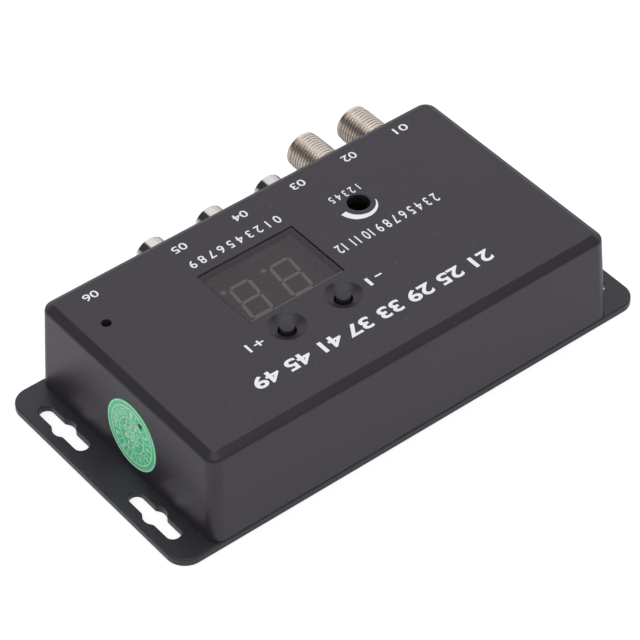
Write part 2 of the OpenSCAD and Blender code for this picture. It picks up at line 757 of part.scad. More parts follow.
// The moulded tray of a switch, with a round well
module switch_tray(x) difference() {
    block(x, button_y, board_top, [switch_side, switch_side, switch_h]);
    translate([x, button_y, board_top + switch_floor_t]) rod(switch_well_d, switch_h);
}

module channel_up_switch() color("black") switch_tray(button_up_x);
module channel_down_switch() color("black") switch_tray(button_down_x);

// The switch's metal cover, with two sides folded down over the tray
module switch_cover(x) translate([x, button_y, 0]) difference() {
    fold = switch_h / 2;
    folded_wid = switch_side + 2 * (switch_cover_t + press_gap);
    union() {
        block(0, 0, cover_z, [switch_side, switch_side, switch_cover_t]);
        block(0, 0, cover_z - fold, [folded_wid, switch_side / 2, fold + switch_cover_t]);
    }
    block(0, 0, cover_z - fold - over, [switch_side + 2 * press_gap, switch_side, fold + over]);
    translate([0, 0, cover_z - over]) rod((button_d + button_foot_d) / 2, switch_cover_t + 2 * over);
}

module channel_up_cover() color("silver") switch_cover(button_up_x);
module channel_down_cover() color("silver") switch_cover(button_down_x);

// A shallow domed disc that rests on the tray's floor
module snap_dome(x) {
    ball_r = (pow(dome_d / 2, 2) + pow(dome_rise, 2)) / (2 * dome_rise);
    floor_z = board_top + switch_floor_t;
    translate([x, button_y, floor_z]) intersection() {
        difference() {
            translate([0, 0, dome_rise - ball_r]) sphere(ball_r, $fn = 2 * round_fn);
            translate([0, 0, dome_rise - ball_r]) sphere(ball_r - dome_t, $fn = 2 * round_fn);
        }
        rod(dome_d, dome_rise);
    }
}

module channel_up_dome() color("gold") snap_dome(button_up_x);
module channel_down_dome() color("gold") snap_dome(button_down_x);

// Four flat leads at each switch, against the tray's sides and the board
module switch_leads() color("silver")
    for (x = [button_up_x, button_down_x], sx = [-1, 1], sy = [-1, 1])
        block(x + sx * switch_side / 3, button_y + sy * (switch_side + switch_cover_t) / 2,
            board_top, [switch_side / 8, switch_cover_t, switch_h / 2]);

module trimmer_base() color([0.15, 0.3, 0.6]) difference() {
    block(trimmer_x, trimmer_y, board_top, [trimmer_side, trimmer_side, trimmer_h]);
    translate([trimmer_x, trimmer_y, board_top + trimmer_h / 3])
        rod(spindle_d + 2 * spindle_gap, trimmer_h);
}

// The rotor turns on its spindle and has crossed slots for a screwdriver
module trimmer_rotor() color("white") translate([trimmer_x, trimmer_y, board_top]) {
    seat_z = trimmer_h + rotor_gap;
    spindle_foot_z = trimmer_h / 3 + rotor_gap;
    translate([0, 0, spindle_foot_z]) rod(spindle_d, seat_z + rotor_h / 4 - spindle_foot_z);
    difference() {
        translate([0, 0, seat_z]) rod(rotor_d, rotor_h);
        for (a = [0, 90]) rotate(a) block(0, 0, seat_z + rotor_h - driver_slot_depth,
            [rotor_d * driver_slot_share, driver_slot_wid, driver_slot_depth + over]);
        translate([rotor_d / 2, 0, seat_z + rotor_h - driver_slot_depth])
            rod(driver_slot_wid, driver_slot_depth + over);
    }
}

// A barrel with a flange and a plain neck at its foot and a chamfered mouth, on the axis Z
module barrel() difference() {
    union() {
        translate([0, 0, -barrel_flange_t]) rod(barrel_flange_d, barrel_flange_t);
        rod(barrel_neck_d, barrel_end - barrel_chamfer);
        translate([0, 0, barrel_end - barrel_reach + barrel_relief])
            rod(barrel_d, barrel_reach - barrel_relief - barrel_chamfer);
        translate([0, 0, barrel_end - barrel_chamfer])
            cylinder(d1 = barrel_d, d2 = barrel_d - 2 * barrel_chamfer, h = barrel_chamfer,
                $fn = round_fn);
    }
    translate([0, 0, -barrel_flange_t - over])
        rod(barrel_bore_d, barrel_end + barrel_flange_t + 2 * over);
}

// The white insulator that fills a barrel, with a small hole in its face
module barrel_insulator() {
    face = barrel_end - dielectric_recess;
    difference() {
        translate([0, 0, -barrel_flange_t]) rod(2 * dielectric_r, face + barrel_flange_t);
        translate([0, 0, -barrel_flange_t - over])
            rod(wire_clip_d + 2 * press_gap, face + barrel_flange_t + over - wire_lip_t);
        rod(wire_hole_d, barrel_end);
        translate([0, 0, face - wire_lip_t / 2])
            cylinder(d1 = wire_hole_d, d2 = wire_clip_d, h = wire_lip_t / 2 + press_gap,
                $fn = round_fn);
    }
}

// The clip for the inner wire, with a tail inside the can down to the board
module barrel_contact() {
    tip = barrel_end - dielectric_recess - wire_lip_t;
    tail_z = -barrel_flange_t - can_t - barrel_d / 2;
    difference() {
        translate([0, 0, -barrel_flange_t]) rod(wire_clip_d, tip + barrel_flange_t);
        rod(wire_hole_d, barrel_end);
        block(0, 0, tip / 2, [wire_clip_d + over, slit_wid, tip]);
    }
    translate([0, 0, tail_z]) rod(tail_d, -barrel_flange_t - tail_z);
    translate([0, 0, tail_z]) sphere(d = tail_d, $fn = round_fn);
    translate([0, 0, tail_z]) rotate([90, 0, 0]) rod(tail_d, socket_axis_h);
}

module at_rf(x) facing_front(x, barrel_front_y, axis_z) children();

module rf_in_barrel() color("silver") at_rf(rf_in_x) barrel();
module rf_out_barrel() color("silver") at_rf(rf_out_x) barrel();
module rf_in_insulator() color("white") at_rf(rf_in_x) barrel_insulator();
module rf_out_insulator() color("white") at_rf(rf_out_x) barrel_insulator();
module rf_in_contact() color("gold") at_rf(rf_in_x) barrel_contact();
module rf_out_contact() color("gold") at_rf(rf_out_x) barrel_contact();

// A bent sheet frame, open above and below, with a hole behind each barrel
module screening_can() color([0.75, 0.75, 0.72]) difference() {
    block(can_x, can_y, board_top, [can_len, can_depth, can_h]);
    block(can_x, can_y, board_top - over,
        [can_len - 2 * can_t, can_depth - 2 * can_t, can_h + 2 * over]);
    for (x = [rf_in_x, rf_out_x]) facing_front(x, barrel_seat_y + can_t + over, axis_z)
        rod(barrel_bore_d, can_t + 2 * over);
}

// The lid: a sheet whose skirt is slit into spring fingers
module screening_lid() color([0.8, 0.8, 0.77]) difference() {
    lid_len = can_len + 2 * (can_t + lid_gap);
    lid_wid = can_depth + 2 * (can_t + lid_gap);
    fingers = 6;
    block(can_x, can_y, can_lid_z - lid_skirt, [lid_len, lid_wid, lid_skirt + can_t]);
    block(can_x, can_y, can_lid_z - lid_skirt - over,
        [lid_len - 2 * can_t, lid_wid - 2 * can_t, lid_skirt + over]);
    for (i = [1:fingers - 1]) block(can_x, can_y - can_depth / 2 + i * can_depth / fingers,
        can_lid_z - lid_skirt - over, [lid_len + 2 * over, can_t, lid_skirt]);
    block(can_x, can_y - lid_wid / 2, can_lid_z - lid_skirt - over,
        [lid_len + 2 * over, 2 * can_t, lid_skirt + over]);
}

module at_jack(x) facing_front(x, jack_front_y, axis_z) children();

// Outline of a phono socket's body, seen from the front, with its upper edges bevelled
module jack_outline() {
    half = jack_wid / 2;
    polygon([[-half, -socket_axis_h], [half, -socket_axis_h], [half, jack_top_h - jack_chamfer],
        [half - jack_chamfer, jack_top_h], [jack_chamfer - half, jack_top_h],
        [-half, jack_top_h - jack_chamfer]]);
}

// A moulded body with its collar and core, bored for the centre contact and its tail
module jack_body(x) at_jack(x) difference() {
    union() {
        translate([0, 0, -jack_depth]) linear_extrude(jack_depth) jack_outline();
        rod(collar_d, collar_len);
        rod(2 * core_r, core_end);
    }
    rod(pin_hole_d, core_end + over);
    translate([0, 0, contact_front - contact_len])
        rod(contact_d + 2 * press_gap, contact_len);
    translate([0, 0, -jack_depth - over]) rod(tail_d + 2 * press_gap, jack_depth + 2 * over);
}

// The plated sleeve round the core, seated against the collar
module jack_sleeve(x) at_jack(x) translate([0, 0, collar_len])
    tube(sleeve_d, sleeve_d - 2 * sleeve_t, sleeve_end - collar_len);

// A slit tube for the plug's pin, with a tail behind the body down to the board
module jack_contact(x) at_jack(x) {
    back = contact_front - contact_len;
    tail_z = -jack_depth - tail_d;
    difference() {
        translate([0, 0, back]) rod(contact_d, contact_len);
        translate([0, 0, back + sleeve_t]) rod(pin_hole_d, contact_len);
        for (a = [0, 90]) rotate(a)
            block(0, 0, contact_front - contact_len / 2, [contact_d + over, slit_wid, contact_len]);
    }
    translate([0, 0, tail_z]) rod(tail_d, back - tail_z);
    translate([0, 0, tail_z]) sphere(d = tail_d, $fn = round_fn);
    translate([0, 0, tail_z]) rotate([90, 0, 0]) rod(tail_d, socket_axis_h);
}

module video_jack_body() color("gold") jack_body(video_x);
module left_jack_body() color("white") jack_body(left_x);
module right_jack_body() color("firebrick") jack_body(right_x);
module video_jack_sleeve() color("silver") jack_sleeve(video_x);
module left_jack_sleeve() color("silver") jack_sleeve(left_x);
module right_jack_sleeve() color("silver") jack_sleeve(right_x);
module video_jack_contact() color("goldenrod") jack_contact(video_x);
module left_jack_contact() color("goldenrod") jack_contact(left_x);
module right_jack_contact() color("goldenrod") jack_contact(right_x);

// Outline of the power socket, drawn in by an inset, with bevelled lower corners
module usb_outline(inset) {
    half = usb_wid / 2 - inset;
    up = usb_h / 2 - inset;
    bevel = usb_bevel - inset * mitre_share;
    polygon([[half, up], [-half, up], [-half, bevel - up], [bevel - half, -up],
        [half - bevel, -up], [half, bevel - up]]);
}

module at_usb() facing_front(usb_x, usb_mouth_y, usb_mid_z) children();

module usb_shell() color("silver") at_usb() translate([0, 0, -usb_len]) linear_extrude(usb_len)
    difference() {
        usb_outline(0);
        usb_outline(usb_t);
    }

// A block that closes the shell's back, with a tongue in its upper half
module usb_insulator() color("black") at_usb() {
    back = usb_len / 5;
    translate([0, 0, -usb_len]) linear_extrude(back) usb_outline(usb_t + press_gap);
    translate([-usb_wid / 4, usb_h / 16, -usb_len])
        cube([usb_wid / 2, usb_h / 5, usb_len - 2 * usb_t]);
}

// Five flat contacts along the underside of the tongue
module usb_contacts() color("gold") at_usb() for (i = [-2:2]) {
    contact_wid = usb_wid / 24;
    translate([i * usb_wid / 12 - contact_wid / 2, usb_h / 16 - usb_t / 2, -usb_len * 4 / 5])
        cube([contact_wid, usb_t / 2, usb_len / 2]);
}

module at_light(z) translate([light_x, light_y, z]) children();

module power_light_lens() color("lightgrey") at_light(lens_base_z) {
    rod(lens_d + 2 * sleeve_t, lens_h / 5);
    rod(lens_d, lens_h - lens_d / 2);
    translate([0, 0, lens_h - lens_d / 2]) sphere(d = lens_d, $fn = round_fn);
}

module power_light_leads() color("silver") at_light(board_top) for (s = [-1, 1])
    translate([s * pin_spacing / 2, 0, 0]) rod(display_pin_d, lens_base_z - board_top);

// The sleeve that holds the light at its height above the board
module power_light_spacer() color("black") at_light(board_top) difference() {
    rod(lens_d + 2 * tail_d, lens_base_z - board_top);
    for (s = [-1, 1]) translate([s * pin_spacing / 2, 0, -over])
        rod(display_pin_d + 2 * press_gap, lens_base_z - board_top + 2 * over);
}

module at_controller() translate(board_place(controller_share)) children();
module at_modulator() translate([can_x, modulator_y, board_top]) children();

// A chip's body, just clear of the board, with a round dimple beside its first lead
module chip_body(leads, wid) {
    len = leads * lead_spacing;
    difference() {
        block(0, 0, lead_t / 2, [len, wid, chip_h]);
        translate([lead_spacing - len / 2, -wid / 4, chip_h]) rod(lead_spacing, chip_h);
    }
}

// Bent leads along both sides of a chip: a shoulder, a leg and a foot
module chip_lead_rows(leads, wid) {
    mid = chip_h / 2;
    leg_y = lead_reach / 2 - lead_t;
    for (i = [0:leads - 1], s = [0, 1]) translate([(i - (leads - 1) / 2) * lead_spacing, 0, 0])
        mirror([0, s, 0]) translate([-lead_wid / 2, wid / 2, 0]) {
            translate([0, 0, mid]) cube([lead_wid, lead_reach / 2, lead_t]);
            translate([0, leg_y, 0]) cube([lead_wid, lead_t, mid + lead_t]);
            translate([0, leg_y, 0]) cube([lead_wid, lead_reach - leg_y, lead_t]);
        }
}

module controller_chip() color("dimgrey") at_controller()
    chip_body(controller_leads, controller_wid);
module modulator_chip() color("dimgrey") at_modulator()
    chip_body(modulator_leads, modulator_wid);

module chip_leads() color("silver") {
    at_controller() chip_lead_rows(controller_leads, controller_wid);
    at_modulator() chip_lead_rows(modulator_leads, modulator_wid);
}

// The crystal's can, on its wider foot
module crystal() color("silver") translate(board_place(crystal_share)) {
    foot = crystal_h / 8;
    linear_extrude(foot) rounded_rect(crystal_len, crystal_wid, crystal_wid / 2 - press_gap);
    linear_extrude(crystal_h)
        rounded_rect(crystal_len - foot, crystal_wid - foot, (crystal_wid - foot) / 2 - press_gap);
}

// The regulator's body between its tab and three leads
module regulator() color("black") translate(board_place(regulator_share)) {
    lead_y = (regulator_wid + lead_reach) / 2;
    block(0, 0, 0, [regulator_len, regulator_wid, regulator_h]);
    block(0, lead_y, 0, [regulator_len / 2, lead_reach, lead_t]);
    for (i = [-1:1])
        block(i * regulator_len / 3, -lead_y, 0, [2 * lead_wid, lead_reach, lead_t]);
}

module at_capacitors() for (share = capacitor_shares) translate(board_place(share)) children();

// Aluminium cans with crossed grooves in their tops
module capacitors() color("darkslateblue") at_capacitors() {
    seal = capacitor_h / 10;
    difference() {
        translate([0, 0, seal]) rod(capacitor_d, capacitor_h - seal);
        for (a = [0, 90]) rotate(a)
            block(0, 0, capacitor_h - lead_t, [capacitor_d / 2, lead_t, lead_t + over]);
    }
}

module capacitor_seals() color("black") at_capacitors()
    rod(capacitor_d - 2 * lead_t, capacitor_h / 10);

module chip_resistors() color("dimgrey") for (share = resistor_shares)
    translate(board_place(share)) block(0, 0, 0, [resistor_wid, resistor_len, resistor_h]);

// A thin disc on the leaning wall at the +X end
module inspection_sticker() color("mediumseagreen")
    translate([housing_len / 2 - lean(sticker_z), sticker_y, sticker_z])
        rotate([0, 90 - atan(draft / (rim_z - plate_t)), 0])
            translate([0, 0, press_gap]) rod(sticker_d, sticker_t);

top_housing();
base_plate();
housing_screws();
board_screws();
display_window();
window_tape();
circuit_board();
display_module();
display_segments();
display_pins();
display_sockets();
channel_up_button();
channel_down_button();
channel_up_switch();
channel_down_switch();
channel_up_cover();
channel_down_cover();
channel_up_dome();
channel_down_dome();
switch_leads();
trimmer_base();
trimmer_rotor();
rf_in_barrel();
rf_out_barrel();
rf_in_insulator();
rf_out_insulator();
rf_in_contact();
rf_out_contact();
screening_can();
screening_lid();
video_jack_body();
left_jack_body();
right_jack_body();
video_jack_sleeve();
left_jack_sleeve();
right_jack_sleeve();
video_jack_contact();
left_jack_contact();
right_jack_contact();
usb_shell();
usb_insulator();
usb_contacts();
power_light_lens();
power_light_leads();
power_light_spacer();
controller_chip();
modulator_chip();
chip_leads();
crystal();
regulator();
capacitors();
capacitor_seals();
chip_resistors();
inspection_sticker();
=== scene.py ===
"""An RF modulator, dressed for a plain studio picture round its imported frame."""
import math

import bmesh
import bpy
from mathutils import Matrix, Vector


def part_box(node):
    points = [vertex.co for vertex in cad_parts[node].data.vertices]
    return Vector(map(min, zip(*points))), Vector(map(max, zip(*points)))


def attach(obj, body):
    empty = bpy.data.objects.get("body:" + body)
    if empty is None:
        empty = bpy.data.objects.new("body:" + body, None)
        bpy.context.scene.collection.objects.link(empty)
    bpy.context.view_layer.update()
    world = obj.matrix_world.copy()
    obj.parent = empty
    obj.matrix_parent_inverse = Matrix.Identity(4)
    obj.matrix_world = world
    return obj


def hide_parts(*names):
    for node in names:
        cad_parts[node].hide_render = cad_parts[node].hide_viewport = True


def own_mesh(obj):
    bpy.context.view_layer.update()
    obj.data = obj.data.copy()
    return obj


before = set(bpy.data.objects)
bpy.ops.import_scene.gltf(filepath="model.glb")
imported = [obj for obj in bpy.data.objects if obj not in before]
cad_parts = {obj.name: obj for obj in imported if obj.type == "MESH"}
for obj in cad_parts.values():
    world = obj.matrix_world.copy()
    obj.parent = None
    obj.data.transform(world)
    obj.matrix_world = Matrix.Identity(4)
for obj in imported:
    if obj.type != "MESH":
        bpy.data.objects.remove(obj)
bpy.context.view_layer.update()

MM = 0.001
ROUND = 96

# Sizes of the moulded case, in millimetres, as the solids have them
HOUSING_LEN, HOUSING_WID, HOUSING_CORNER = 115.7, 66.6, 3.2
PLATE_T, RIM_Z, ROOF_Z, CEILING_Z = 2.0, 25.4, 26.9, 24.5
DRAFT, CHAMFER_WID, WALL_T = 1.15, 2.1, 2.4
CAVITY_CORNER = 1.2

# How far a cut runs past the face that it opens
OVER = 0.5

# Screw pillars in the corners, each braced to the end wall, and board pillars, each with crossed ribs
CORNERS = [(sx, sy) for sx in (-1, 1) for sy in (-1, 1)]
PILLAR_X, PILLAR_Y, PILLAR_D = 52.144, 22.5, 5.6
PILLAR_BORE_R, PILLAR_BORE_TOP = 1.52, 12.5
BRACE_LEN, BRACE_DROP = 3.4, 6.0
BOARD_TOP, BOARD_PILLAR_D = 9.5, 5.0
BOARD_PILLARS = ((-37.86, 23.62), (37.86, 23.62), (34.07, -21.56))
BOARD_BORE_R, BOARD_BORE_TOP = 1.12, 15.4
RIB_REACH, RIB_DROP, RIB_HALF_T = 5.0, 3.0, 0.6

# Roof openings: the window's middle, length and width, then each round hole's middle and radius
WINDOW = (10.7, -6.5, 27.2, 19.4)
WINDOW_LEDGE, POCKET_DEPTH = 1.1, 1.5
BUTTONS = {"channel_up_button": (18.4, 9.4), "channel_down_button": (2.4, 9.4)}
DISH_R, DISH_DEPTH, BUTTON_HOLE_R = 4.6, 1.6, 2.2
TRIMMER = (-19.8, -12.7, 2.8)
LIGHT = (48.9, -16.9, 1.2)

# Sockets: how far each stands along the wall. The power port's place, length, height and corner follow.
AXIS_Z = 17.0
AERIALS = {"rf_in_barrel": -43.8, "rf_out_barrel": -28.5}
PHONOS = {"video_jack_sleeve": -12.9, "left_jack_sleeve": 4.4, "right_jack_sleeve": 21.5}
AERIAL_HOLE_R, COLLAR_HOLE_R = 5.06, 5.4
POWER_PORT = (46.5, 10.95, 11.4, 7.2, 2.0)
WALL_CUT_Y, WALL_CUT_DEPTH = -29.7, 4.5

# The base plate's length, width and corner, and the sticker's place and thickness on the end wall
PLATE = (134.3, 66.8, 5.0)
SLOT_X, SLOT_Y = 62.35, 17.35
STICKER_Y, STICKER_Z, STICKER_T = 3.1, 12.5, 0.15


def lean(z):
    """Inset of the leaning outer wall at a height."""
    return DRAFT * (z - PLATE_T) / (RIM_Z - PLATE_T)


# Meshes

def rounded_path(points, radii, steps=6):
    """A line through the points with each inner corner turned into an arc of its radius."""
    out = [tuple(points[0])]
    for before, corner, after, radius in zip(points, points[1:], points[2:], radii):
        a, b, c = Vector(before), Vector(corner), Vector(after)
        back, on = (a - b).normalized(), (c - b).normalized()
        half = back.angle(on) / 2
        if radius <= 0 or half > math.radians(89.5):
            out.append(tuple(corner))
            continue
        middle = b + (back + on).normalized() * (radius / math.sin(half))
        start, end = b + back * (radius / math.tan(half)), b + on * (radius / math.tan(half))
        p, q = start - middle, end - middle
        sweep = p.angle(q)
        for i in range(steps + 1):
            t = i / steps
            arm = (p * math.sin((1 - t) * sweep) + q * math.sin(t * sweep)) / math.sin(sweep)
            out.append(tuple(middle + arm))
    out.append(tuple(points[-1]))
    return out


def rounded_loop(length, width, radius, z, steps):
    """Points round a rectangle with round corners, at a height."""
    loop = []
    for quarter, (sx, sy) in enumerate(((1, 1), (-1, 1), (-1, -1), (1, -1))):
        for i in range(steps + 1):
            a = math.radians(90) * (quarter + i / steps)
            loop.append((sx * (length / 2 - radius) + radius * math.cos(a),
                         sy * (width / 2 - radius) + radius * math.sin(a), z))
    return loop


def slot_outline(middle_x, middle_y):
    """A fixing slot with a round bulge in its middle, blended into its straight sides."""
    half, bulge, blend, end = 1.8, 2.75, 1.0, 6.85
    reach = math.sqrt((bulge + blend) ** 2 - (half + blend) ** 2)
    turn = math.atan2(reach, half + blend)
    quarter = [(half * math.cos(a), end + half * math.sin(a))
               for a in (math.radians(90 * (1 - i / 10)) for i in range(11))]
    quarter += [(half + blend + blend * math.cos(a), reach + blend * math.sin(a))
                for a in (math.pi + turn * i / 4 for i in range(5))]
    quarter += [(bulge * math.cos(a), bulge * math.sin(a))
                for a in (turn * (1 - i / 6) for i in range(1, 6))]
    right = quarter + [(bulge, 0)] + [(x, -y) for x, y in reversed(quarter)]
    left = [(-x, y) for x, y in reversed(right[1:-1])]
    return [(middle_x + x, middle_y + y) for x, y in right + left]


def spread(outline, gap):
    """A closed outline moved outwards, or inwards where the gap is negative."""
    count = len(outline)
    area = sum(outline[i][0] * outline[(i + 1) % count][1] - outline[(i + 1) % count][0] * outline[i][1]
               for i in range(count))
    side = 1 if area > 0 else -1
    out = []
    for i, (x, y) in enumerate(outline):
        before, after = Vector(outline[i - 1]), Vector(outline[(i + 1) % count])
        here = Vector((x, y))
        d1, d2 = (here - before).normalized(), (after - here).normalized()
        n1, n2 = Vector((d1.y, -d1.x)) * side, Vector((d2.y, -d2.x)) * side
        n = (n1 + n2).normalized()
        out.append(tuple(here + n * (gap / max(n.dot(n1), 0.5))))
    return out


def skin(loops):
    """Points and faces of a solid skinned over loops with the same number of points."""
    n = len(loops[0])
    points = [p for loop in loops for p in loop]
    faces = [tuple(range(n - 1, -1, -1)), tuple(range(len(points) - n, len(points)))]
    for k in range(len(loops) - 1):
        for i in range(n):
            j = (i + 1) % n
            faces.append((k * n + i, k * n + j, (k + 1) * n + j, (k + 1) * n + i))
    return points, faces


def circle(x, y, r, segments=ROUND):
    """Points round a circle."""
    return [(x + r * math.cos(2 * math.pi * i / segments), y + r * math.sin(2 * math.pi * i / segments))
            for i in range(segments)]


def rectangle(x, y, length, width):
    """The four corners of a rectangle about its middle."""
    return [(x - length / 2, y - width / 2), (x + length / 2, y - width / 2),
            (x + length / 2, y + width / 2), (x - length / 2, y + width / 2)]


def turned(profile, segments=ROUND, closed=False):
    """A form turned round Z. A closed profile makes a ring, an open one starts and ends on the axis."""
    points, rings = [], []
    for r, z in profile:
        if r <= 1e-9:
            rings.append([len(points)])
            points.append((0, 0, z))
        else:
            rings.append(list(range(len(points), len(points) + segments)))
            points += [(x, y, z) for x, y in circle(0, 0, r, segments)]
    faces = []
    pairs = list(zip(rings, rings[1:])) + ([(rings[-1], rings[0])] if closed else [])
    for a, b in pairs:
        for i in range(segments):
            j = (i + 1) % segments
            if len(a) == 1:
                faces.append((a[0], b[j], b[i]))
            elif len(b) == 1:
                faces.append((a[i], a[j], b[0]))
            else:
                faces.append((a[i], a[j], b[j], b[i]))
    return points, faces


def joined(*forms):
    """Several forms as one list of points and faces."""
    points, faces = [], []
    for p, f in forms:
        faces += [tuple(i + len(points) for i in face) for face in f]
        points += p
    return points, faces


def moved(form, x, y):
    """A form moved across the plan."""
    return [(a + x, b + y, c) for a, b, c in form[0]], form[1]


def facing_sockets(form, x, y, z):
    """Lays a form that stands on Z so that it points out of the socket wall."""
    return [(x + a, y - c, z + b) for a, b, c in form[0]], form[1]


def bar(x0, x1, y0, y1, z0, z1):
    """A square-edged bar between two values on each axis."""
    return skin([[(x0, y0, z), (x1, y0, z), (x1, y1, z), (x0, y1, z)] for z in (z0, z1)])


def new_mesh(name, form):
    """A mesh in metres from a form in millimetres, with its faces turned outwards."""
    mesh = bpy.data.meshes.new(name)
    mesh.from_pydata([(x * MM, y * MM, z * MM) for x, y, z in form[0]], [], form[1])
    mesh.validate()
    work = bmesh.new()
    work.from_mesh(mesh)
    bmesh.ops.recalc_face_normals(work, faces=work.faces)
    work.to_mesh(mesh)
    work.free()
    return mesh


def new_object(name, form):
    """An object in the scene from a form in millimetres."""
    obj = bpy.data.objects.new(name, new_mesh(name, form))
    bpy.context.collection.objects.link(obj)
    return obj


def carve(obj, form, how="DIFFERENCE", overlapping=False):
    """Cuts a form out of an object, or adds it where how is UNION."""
    tool = new_object("tool", form)
    step = obj.modifiers.new("carve", "BOOLEAN")
    step.operation, step.solver, step.object, step.use_self = how, "EXACT", tool, overlapping
    bpy.context.view_layer.update()
    done = bpy.data.meshes.new_from_object(obj.evaluated_get(bpy.context.evaluated_depsgraph_get()))
    obj.modifiers.clear()
    obj.data = done
    bpy.data.objects.remove(tool)


def soft_shaded(obj, angle=32, weighted=True):
    """Smooth faces with crisp edges above an angle, and normals led by the large faces."""
    obj.data.shade_smooth()
    obj.data.set_sharp_from_angle(angle=math.radians(angle))
    if weighted:
        step = obj.modifiers.new("even_normals", "WEIGHTED_NORMAL")
        step.keep_sharp = True
        step.weight = 60


def fitted(obj, finish, body="case", stands_for=None):
    """Gives a piece its finish and its body, and hides the CAD node that it stands for."""
    obj.data.materials.clear()
    obj.data.materials.append(finishes[finish])
    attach(obj, body)
    if stands_for:
        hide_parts(stands_for)
    return obj


# Finishes

def paint(red, green, blue):
    """A colour given as on a screen, 0 to 255, in the values that a shader takes."""
    def line(v):
        v /= 255
        return v / 12.92 if v <= 0.04045 else ((v + 0.055) / 1.055) ** 2.4
    return (line(red), line(green), line(blue), 1.0)


class Board:
    """Places and joins the nodes of one tree. A value is a socket to join, or a constant."""

    def __init__(self, tree):
        self.tree = tree

    def add(self, kind, values=None, **settings):
        """A node with its settings, and a value at each of the named inputs."""
        node = self.tree.nodes.new(kind)
        for key, value in settings.items():
            setattr(node, key, value)
        for key, value in (values or {}).items():
            if isinstance(value, bpy.types.NodeSocket):
                self.join(value, node.inputs[key])
            else:
                node.inputs[key].default_value = value
        return node

    def join(self, source, target):
        """A link from an output to an input."""
        self.tree.links.new(source, target)

    def math(self, operation, a, b, clamp=False):
        """One step of arithmetic on two values."""
        return self.add("ShaderNodeMath", {0: a, 1: b}, operation=operation, use_clamp=clamp).outputs[0]

    def ramp(self, source, low, high, at_low=0.0, at_high=1.0):
        """A straight ramp from one value to another, level outside its ends."""
        node = self.add("ShaderNodeMapRange", {"Value": source, "From Min": low, "From Max": high,
                                               "To Min": at_low, "To Max": at_high})
        return node.outputs["Result"]

    def blend(self, factor, a, b):
        """The first colour where the factor is 0, the second where it is 1."""
        return self.add("ShaderNodeMix", {0: factor, 6: a, 7: b}, data_type="RGBA").outputs[2]


def new_effect(name, inputs, outputs):
    """An empty shader node group with named inputs and outputs."""
    group = bpy.data.node_groups.new(name, "ShaderNodeTree")
    for label, kind, value in inputs:
        entry = group.interface.new_socket(name=label, in_out="INPUT", socket_type=kind)
        entry.default_value = value
    for label, kind in outputs:
        group.interface.new_socket(name=label, in_out="OUTPUT", socket_type=kind)
    return group, Board(group)


def moulding_grain():
    """The fine spark-eroded texture of a moulding: a height, and a slow change of tone."""
    group, b = new_effect("moulding grain", [("Grain Size", "NodeSocketFloat", 0.25),
                                             ("Tone Size", "NodeSocketFloat", 14.0)],
                          [("Height", "NodeSocketFloat"), ("Tone", "NodeSocketFloat")])
    given = b.add("NodeGroupInput")
    place = b.add("ShaderNodeTexCoord").outputs["Object"]
    fine = b.add("ShaderNodeTexNoise", {"Vector": place, "Detail": 2.0,
                                        "Scale": b.math("DIVIDE", 1000.0, given.outputs["Grain Size"])})
    slow = b.add("ShaderNodeTexNoise", {"Vector": place, "Detail": 4.0, "Roughness": 0.6,
                                        "Scale": b.math("DIVIDE", 1000.0, given.outputs["Tone Size"])})
    out = b.add("NodeGroupOutput")
    b.join(fine.outputs["Fac"], out.inputs["Height"])
    b.join(b.ramp(slow.outputs["Fac"], 0.35, 0.65), out.inputs["Tone"])
    return group


def dust_specks():
    """Sparse small pale specks that lie on a surface."""
    group, b = new_effect("dust specks", [("Spacing", "NodeSocketFloat", 1.6),
                                          ("Share", "NodeSocketFloat", 0.1),
                                          ("Speck Size", "NodeSocketFloat", 0.16)],
                          [("Mask", "NodeSocketFloat")])
    given = b.add("NodeGroupInput")
    place = b.add("ShaderNodeTexCoord").outputs["Object"]
    cells = b.add("ShaderNodeTexVoronoi", {"Vector": place, "Randomness": 1.0,
                                           "Scale": b.math("DIVIDE", 1000.0, given.outputs["Spacing"])})
    reach = b.math("DIVIDE", given.outputs["Speck Size"], given.outputs["Spacing"])
    near = b.math("SUBTRACT", reach, cells.outputs["Distance"])
    soft = b.math("MULTIPLY", near, b.math("DIVIDE", 2.0, reach), clamp=True)
    pick = b.add("ShaderNodeSeparateColor", {"Color": cells.outputs["Color"]}).outputs["Red"]
    chosen = b.math("LESS_THAN", pick, given.outputs["Share"])
    out = b.add("NodeGroupOutput")
    b.join(b.math("MULTIPLY", soft, chosen), out.inputs["Mask"])
    return group


def edge_wear():
    """Where handling has polished or paled the outer edges, broken up along its length."""
    group, b = new_effect("edge wear", [("Reach", "NodeSocketFloat", 0.3),
                                        ("Patch Size", "NodeSocketFloat", 3.0)],
                          [("Mask", "NodeSocketFloat")])
    given = b.add("NodeGroupInput")
    place = b.add("ShaderNodeTexCoord").outputs["Object"]
    rounded = b.add("ShaderNodeBevel", {"Radius": b.math("MULTIPLY", given.outputs["Reach"], MM)}, samples=4)
    true = b.add("ShaderNodeNewGeometry").outputs["True Normal"]
    turn = b.add("ShaderNodeVectorMath", {0: rounded.outputs["Normal"], 1: true}, operation="DOT_PRODUCT")
    patch = b.add("ShaderNodeTexNoise", {"Vector": place, "Detail": 3.0,
                                         "Scale": b.math("DIVIDE", 1000.0, given.outputs["Patch Size"])})
    edge = b.ramp(turn.outputs["Value"], 0.995, 0.9)
    out = b.add("NodeGroupOutput")
    b.join(b.math("MULTIPLY", edge, b.ramp(patch.outputs["Fac"], 0.45, 0.65)), out.inputs["Mask"])
    return group


